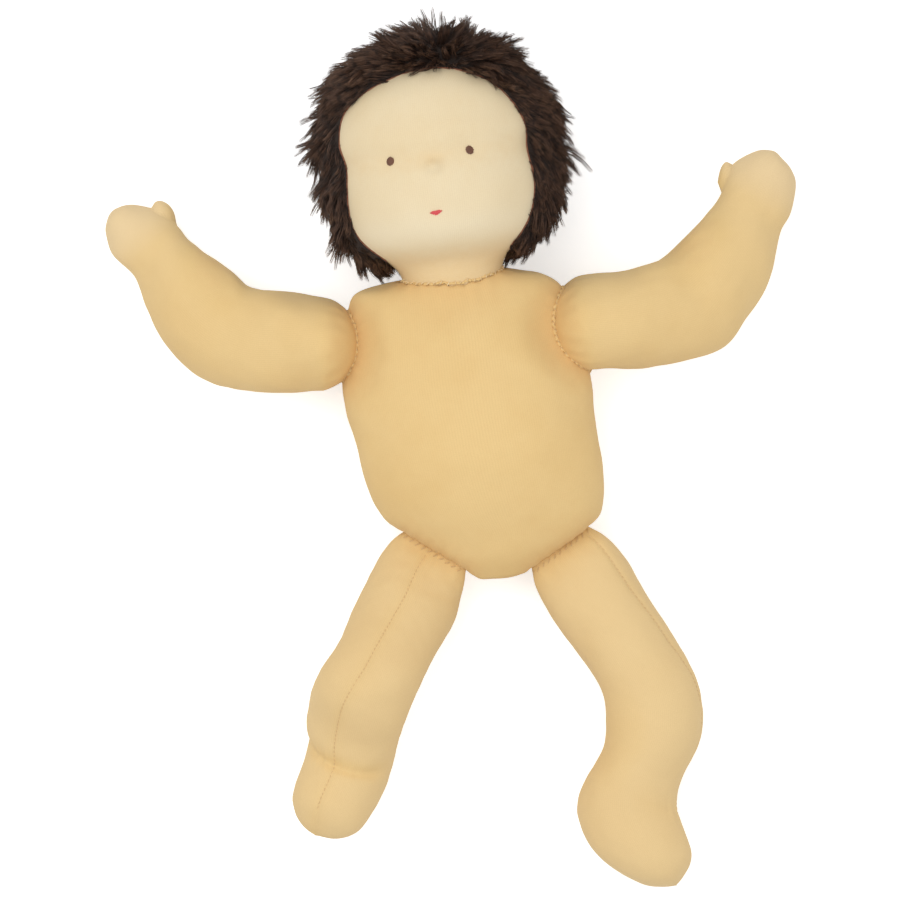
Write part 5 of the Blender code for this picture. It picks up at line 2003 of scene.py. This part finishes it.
@dataclass
class Doll:
    """The whole doll: builds each sub-assembly and hangs it on its bodies, all but the arms, legs
    and leg seams.
    """

    frame: dict
    machine_pitch: float = 2.15 * MM
    arm_welt: float = 0.85 * MM
    neck_welt: float = 0.55 * MM
    # The neck roll: place along the neck and radius, in millimetres
    roll: tuple[tuple[float, float], ...] = (
        (-33, 7.4), (-28, 7.9), (-20, 7.9), (-12, 8.0), (-9, 8.6), (-6, 10.3), (0, 11.9),
        (6, 10.3), (10, 6.4))
    roll_ends: tuple[float, float] = (-34, 12)

    def build(self) -> None:
        """Builds everything in order."""
        self.bones = Skeleton.read(self.frame)
        self.looks = Finishes.made()
        self.stitches = stitch_tree()
        self._torso()
        for side in Side:
            self._arm(side)
            self._leg(side)
        self._head()
        self._neck_roll()

    def _report(self, made: Piece) -> None:
        """Says what was made."""
        LOG.info("%s: %d faces", made.name, len(made.data.polygons))

    def _torso(self) -> None:
        """The body cloth."""
        form = Torso().form(self.bones)
        made = form.to_object("torso_cloth", self.looks.skin)
        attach(made, "torso")
        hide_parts("torso_skin", "torso_filling")
        self._report(made)
        self.torso_tree = form.tree()

    def _arm(self, side: Side) -> None:
        """An arm, and the hand stitches round it.

        Args:
            side: Which arm.
        """
        arm = Arm(side)
        made = arm.form(self.bones).to_object(side.value + "_arm_cloth", self.looks.skin)
        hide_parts(side.value + "_arm_skin", side.value + "_arm_filling")
        middle, way = self.bones.shoulder[side], self.bones.arm_way[side]
        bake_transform(made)
        self._report(made)
        path = self._set_in_path(middle, way, arm.radius, arm.root_height)
        path = self._welt(side.value + "_shoulder_welt", path, self.arm_welt)
        self._hand_stitches(side.value + "_shoulder_sewing", path,
                            side.value + "_shoulder_stitches")

    def _welt(self, name: str, path: list[Spot], radius: float) -> list[Spot]:
        """Fills a set-in seam with the turned edge of the cloth, drawn into small scallops.

        Args:
            name: The piece's name.
            path: The seam's points and outward directions, all the way round.
            radius: How thick the turned edge is.

        Returns:
            The same seam on top of the turned edge.
        """
        line, outs = (np.array([step[k] for step in path]) for k in (0, 1))
        steps = walked(line)
        scallops = round(steps[-1] / STITCH_PITCH)
        wanted = np.linspace(0, steps[-1], scallops * 8, endpoint=False)
        line, outs = (evened(between(wanted, steps, v), 60) for v in (line, outs))
        outs = unit(outs)
        wave = np.cos(wanted / steps[-1] * TAU * scallops + soft_noise(line, 12 * MM, 95))
        aside = unit(np.cross(chord(line), outs))
        line = line + aside * (0.28 * radius * wave)[:, None]
        made = cord(name, line, outs, radius * (1 + 0.16 * wave), self.looks.skin, 10)
        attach(made, "torso")
        self._report(made)
        on_top = line + outs * radius * 0.75
        return [(on_top[k], outs[k]) for k in (*range(len(line)), 0)]

    def _set_in_path(self, centre: Array, way: Array, radius: float, height: float) -> list[Spot]:
        """Follows the line where a rounded root leaves the torso's surface.

        Args:
            centre: The root's middle.
            way: The way that it leaves the torso.
            radius: Half its width.
            height: Half its height.

        Returns:
            Points and outward directions, all the way round.
        """
        across = np.cross(UP, way)
        path = []
        for turn in np.linspace(0, TAU, 121):
            spoke = across * math.cos(turn) + UP * math.sin(turn)
            reach = across * math.cos(turn) * radius + UP * math.sin(turn) * height
            for angle in np.radians(np.arange(110, 20, -0.5)):
                point = centre - way * radius * math.cos(angle) + reach * math.sin(angle)
                near, normal, _, _ = self.torso_tree.find_nearest(Vector(point))
                if (Vector(point) - near).dot(normal) < 0.25 * MM:
                    path.append((point, unit(spoke * math.sin(angle) - way * math.cos(angle)
                                             + np.array(normal))))
                    break
        return path

    def _hand_stitches(self, name: str, path: list[Spot], node: str, look: Look | None = None,
                       length: float = 2.3 * MM, slant: float = 0.85,
                       radius: float = 0.19 * MM) -> None:
        """Slanted hand stitches along a seam.

        Args:
            name: The piece's name.
            path: The seam's points and outward directions.
            node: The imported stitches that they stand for.
            look: Their material, or None for the usual thread.
            length: Length of one.
            slant: Their turn away from the seam, in radians.
            radius: The thread's radius.
        """
        made = StitchRun(name, radius, 0.25 * MM, len(name)).build(
            run_stitches(path, STITCH_PITCH, length, slant, 0.15 * MM, len(name)), self.stitches,
            look or self.looks.seam)
        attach(made, "torso")
        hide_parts(node)
        self._report(made)

    def _leg(self, side: Side) -> None:
        """A leg, with its seams.

        Args:
            side: Which leg.
        """
        leg = Leg(side)
        form = leg.form(self.bones)
        made = form.to_object(side.value + "_leg_cloth", self.looks.skin)
        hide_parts(side.value + "_leg_skin", side.value + "_leg_filling")
        hip, out = self.bones.hip[side], self.bones.hip_out(side)
        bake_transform(made)
        self._report(made)
        seam = StitchRun(side.value + "_leg_seam", 0.17 * MM, 0.1 * MM, 7, 0.2).build(
            run_stitches(leg.front_seam(form), self.machine_pitch, 1.25 * MM, 0.1, 0.02 * MM),
            self.stitches, self.looks.seam)
        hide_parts(side.value + "_leg_front_seam", side.value + "_ankle_stitches")
        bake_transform(seam)
        self._report(seam)
        self._hip_sewing(side, form.tree(), leg.hip_width / 2)

    def _hip_sewing(self, side: Side, tree: BVHTree, half: float) -> None:
        """The hand stitches across the front of a hip.

        Args:
            side: Which hip.
            tree: The leg.
            half: Half the seam's length.
        """
        path = []
        for along in np.linspace(-half, half, 60):
            start = (self.bones.hip[side] + self.bones.hip_line[side] * along
                     - self.bones.hip_out(side) * 0.2 * MM)
            found = [spot for surface in (tree, self.torso_tree)
                     if (spot := from_above(surface, start[0], start[1])) is not None]
            if found:
                path.append(max(found, key=lambda spot: spot[0][2]))
        self._hand_stitches(side.value + "_hip_sewing", path, side.value + "_hip_stitches")

    def _head(self) -> None:
        """The face cloth, the embroidered features, the neck seam and the wig."""
        head = Head()
        form = head.form(self.bones)
        made = form.to_object("head_cloth", self.looks.face)
        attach(made, "head")
        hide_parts("head_skin", "head_gauze", "head_core", "eye_line_tie", "neck_tie",
                    "nose_bead")
        self._report(made)
        tree = form.tree()
        neck = self.bones.neck
        for side in Side:
            name = side.value + "_eye_embroidery"
            eye = StitchRun(name, 0.30 * MM, 0.32 * MM, 4, 0.06).build(
                head.satin(tree, neck, head.eyes[side], (1.75 * MM, 1.9 * MM), 9,
                           0.5 * side.sign), self.stitches, self.looks.eye)
            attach(eye, "head")
            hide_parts(side.value + "_eye")
            self._report(eye)
        self._mouth(head, tree)
        self._neck_seam(head)
        self._wig(Wig(tree, neck))

    def _mouth(self, head: Head, tree: BVHTree) -> None:
        """A small red mouth, fuller below.

        Args:
            head: The head's sizes.
            tree: The face.
        """
        rows = head.satin(tree, self.bones.neck, head.mouth, (2.6 * MM, 0.95 * MM), 5, 0.10)
        for stitch, length in zip(rows, (1.6, 3.2, 4.6, 5.4, 4.0)):
            stitch.length = length * MM
        made = StitchRun("mouth_embroidery", 0.25 * MM, 0.2 * MM, 6, 0.05).build(
            rows, self.stitches, self.looks.mouth)
        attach(made, "head")
        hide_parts("mouth")
        self._report(made)

    def _neck_seam(self, head: Head) -> None:
        """The hand stitches that hold the face cloth to the collar.

        Args:
            head: The head's sizes.
        """
        path = self._set_in_path(self.bones.neck, HEADWARD, head.neck_radius, head.neck_radius)
        path = self._welt("neck_welt", path, self.neck_welt)
        self._hand_stitches("neck_sewing", path, "neck_stitches", self.looks.neck_seam,
                            length=2.4 * MM, slant=0.95, radius=0.22 * MM)

    def _wig(self, wig: Wig) -> None:
        """The cap, its edge and the locks.

        Args:
            wig: The wig, laid out on the head.
        """
        cap = wig.cap(self.looks.backing)
        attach(cap, "head")
        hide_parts("wig_backing")
        hem = wig.hem(self.looks.hem)
        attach(hem, "head")
        for piece in (cap, hem):
            self._report(piece)
        for lock in wig.locks(strand_tree(), self.looks.hair):
            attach(lock, "head")
            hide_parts("hair_pile")
            self._report(lock)

    def _neck_roll(self) -> None:
        """The firm roll of wool inside the neck, which the head turns on."""
        neck = self.bones.neck
        rows = [ring(neck + HEADWARD * along * MM, LEFTWARD * radius * MM, UP * radius * MM, 48)
                for along, radius in self.roll]
        form = Form.lofted(rows, *(neck + HEADWARD * end * MM for end in self.roll_ends),
                           0.8 * MM)
        turn = np.arctan2(*(form.rings - neck)[..., [2, 0]].transpose(2, 0, 1))
        form.push(0.12 * MM * np.cos(form.lengthwise()[:, None] * TAU / (2.6 * MM) + turn))
        made = form.to_object("neck_wool", self.looks.wool)
        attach(made, "neck")
        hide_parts("neck_roll")
        self._report(made)


@dataclass
class Studio:
    """A plain pale floor, soft light and the camera above the doll."""

    distance: float = 14.0
    view_width: float = 405 * MM
    sensor: float = 36.0
    clip_end: float = 1000.0
    turn: float = math.radians(-7)
    aim: tuple[float, float] = (-13.3 * MM, 5.3 * MM)
    floor_size: float = 6.0
    floor_glow: float = 0.5
    sky: float = 0.66
    white: Colour = (1.0, 1.0, 1.0)
    # Lamps: place, power and size
    lamps: tuple[tuple[tuple[float, float, float], float, float], ...] = (
        ((-0.55, 0.45, 1.6), 11.0, 1.2),
        ((0.7, -0.5, 1.4), 4.5, 1.2),
    )

    def build(self) -> None:
        """Sets up the floor, the lamps, the sky and the camera."""
        scene = bpy.context.scene
        self._floor()
        for place, power, size in self.lamps:
            self._lamp(Vector(place), power, size)
        self._sky()
        data = bpy.data.cameras.new("camera")
        data.sensor_width = self.sensor
        data.lens = data.sensor_width * self.distance / self.view_width
        data.clip_end = self.clip_end
        camera = bpy.data.objects.new("camera", data)
        camera.location = (*self.aim, self.distance)
        camera.rotation_euler = (0.0, 0.0, self.turn)
        scene.collection.objects.link(camera)
        scene.camera = camera
        scene.view_settings.view_transform = "Standard"

    def _lamp(self, place: Vector, power: float, size: float) -> None:
        """A broad soft lamp aimed at the doll.

        Args:
            place: Where it hangs.
            power: Its power.
            size: Its width.
        """
        data = bpy.data.lights.new("softbox", "AREA")
        data.energy = power
        data.size = size
        made = bpy.data.objects.new("softbox", data)
        made.location = place
        made.rotation_euler = (-place).to_track_quat("-Z", "Y").to_euler()
        bpy.context.scene.collection.objects.link(made)

    def _sky(self) -> None:
        """An even pale sky that the camera sees as white."""
        world = bpy.data.worlds.new("studio")
        world.use_nodes = True
        bpy.context.scene.world = world
        graph = Graph(world.node_tree)
        rays = graph.add("ShaderNodeLightPath")
        seen = rays["Is Camera Ray"].math("MAXIMUM", rays["Is Glossy Ray"].math(
            "MAXIMUM", rays["Is Transmission Ray"]))
        graph.feed(world.node_tree.nodes["Background"], {
            "Color": self.white, "Strength": seen.ranged(0.0, 1.0, self.sky, 1.0)})

    def _floor(self) -> None:
        """A matt white floor that keeps the doll's shadow."""
        made, graph, shader = new_material("floor_paper")
        tone = graph.noise(graph.here(), 900.0)[0].ranged(0.3, 0.7, 0.90, 0.94)
        rays = graph.add("ShaderNodeLightPath")
        graph.feed(shader, {
            "Base Color": graph.add("ShaderNodeCombineColor", {0: tone, 1: tone, 2: tone})[0],
            "Roughness": 0.95, "Specular IOR Level": 0.0, "Emission Color": self.white,
            "Emission Strength": rays["Is Camera Ray"] * self.floor_glow})
        half = self.floor_size / 2
        mesh = new_mesh("floor", half * np.array(((-1, -1, 0), (1, -1, 0), (1, 1, 0),
                                                  (-1, 1, 0))), [(0, 1, 2, 3)])
        mesh.materials.append(made)
        floor = bpy.data.objects.new("floor", mesh)
        bpy.context.scene.collection.objects.link(floor)


def main() -> None:
    """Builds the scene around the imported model."""
    logging.basicConfig(level=logging.INFO, format="%(message)s")
    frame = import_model()
    Doll(frame).build()
    Studio().build()


if __name__ == "__main__":
    main()
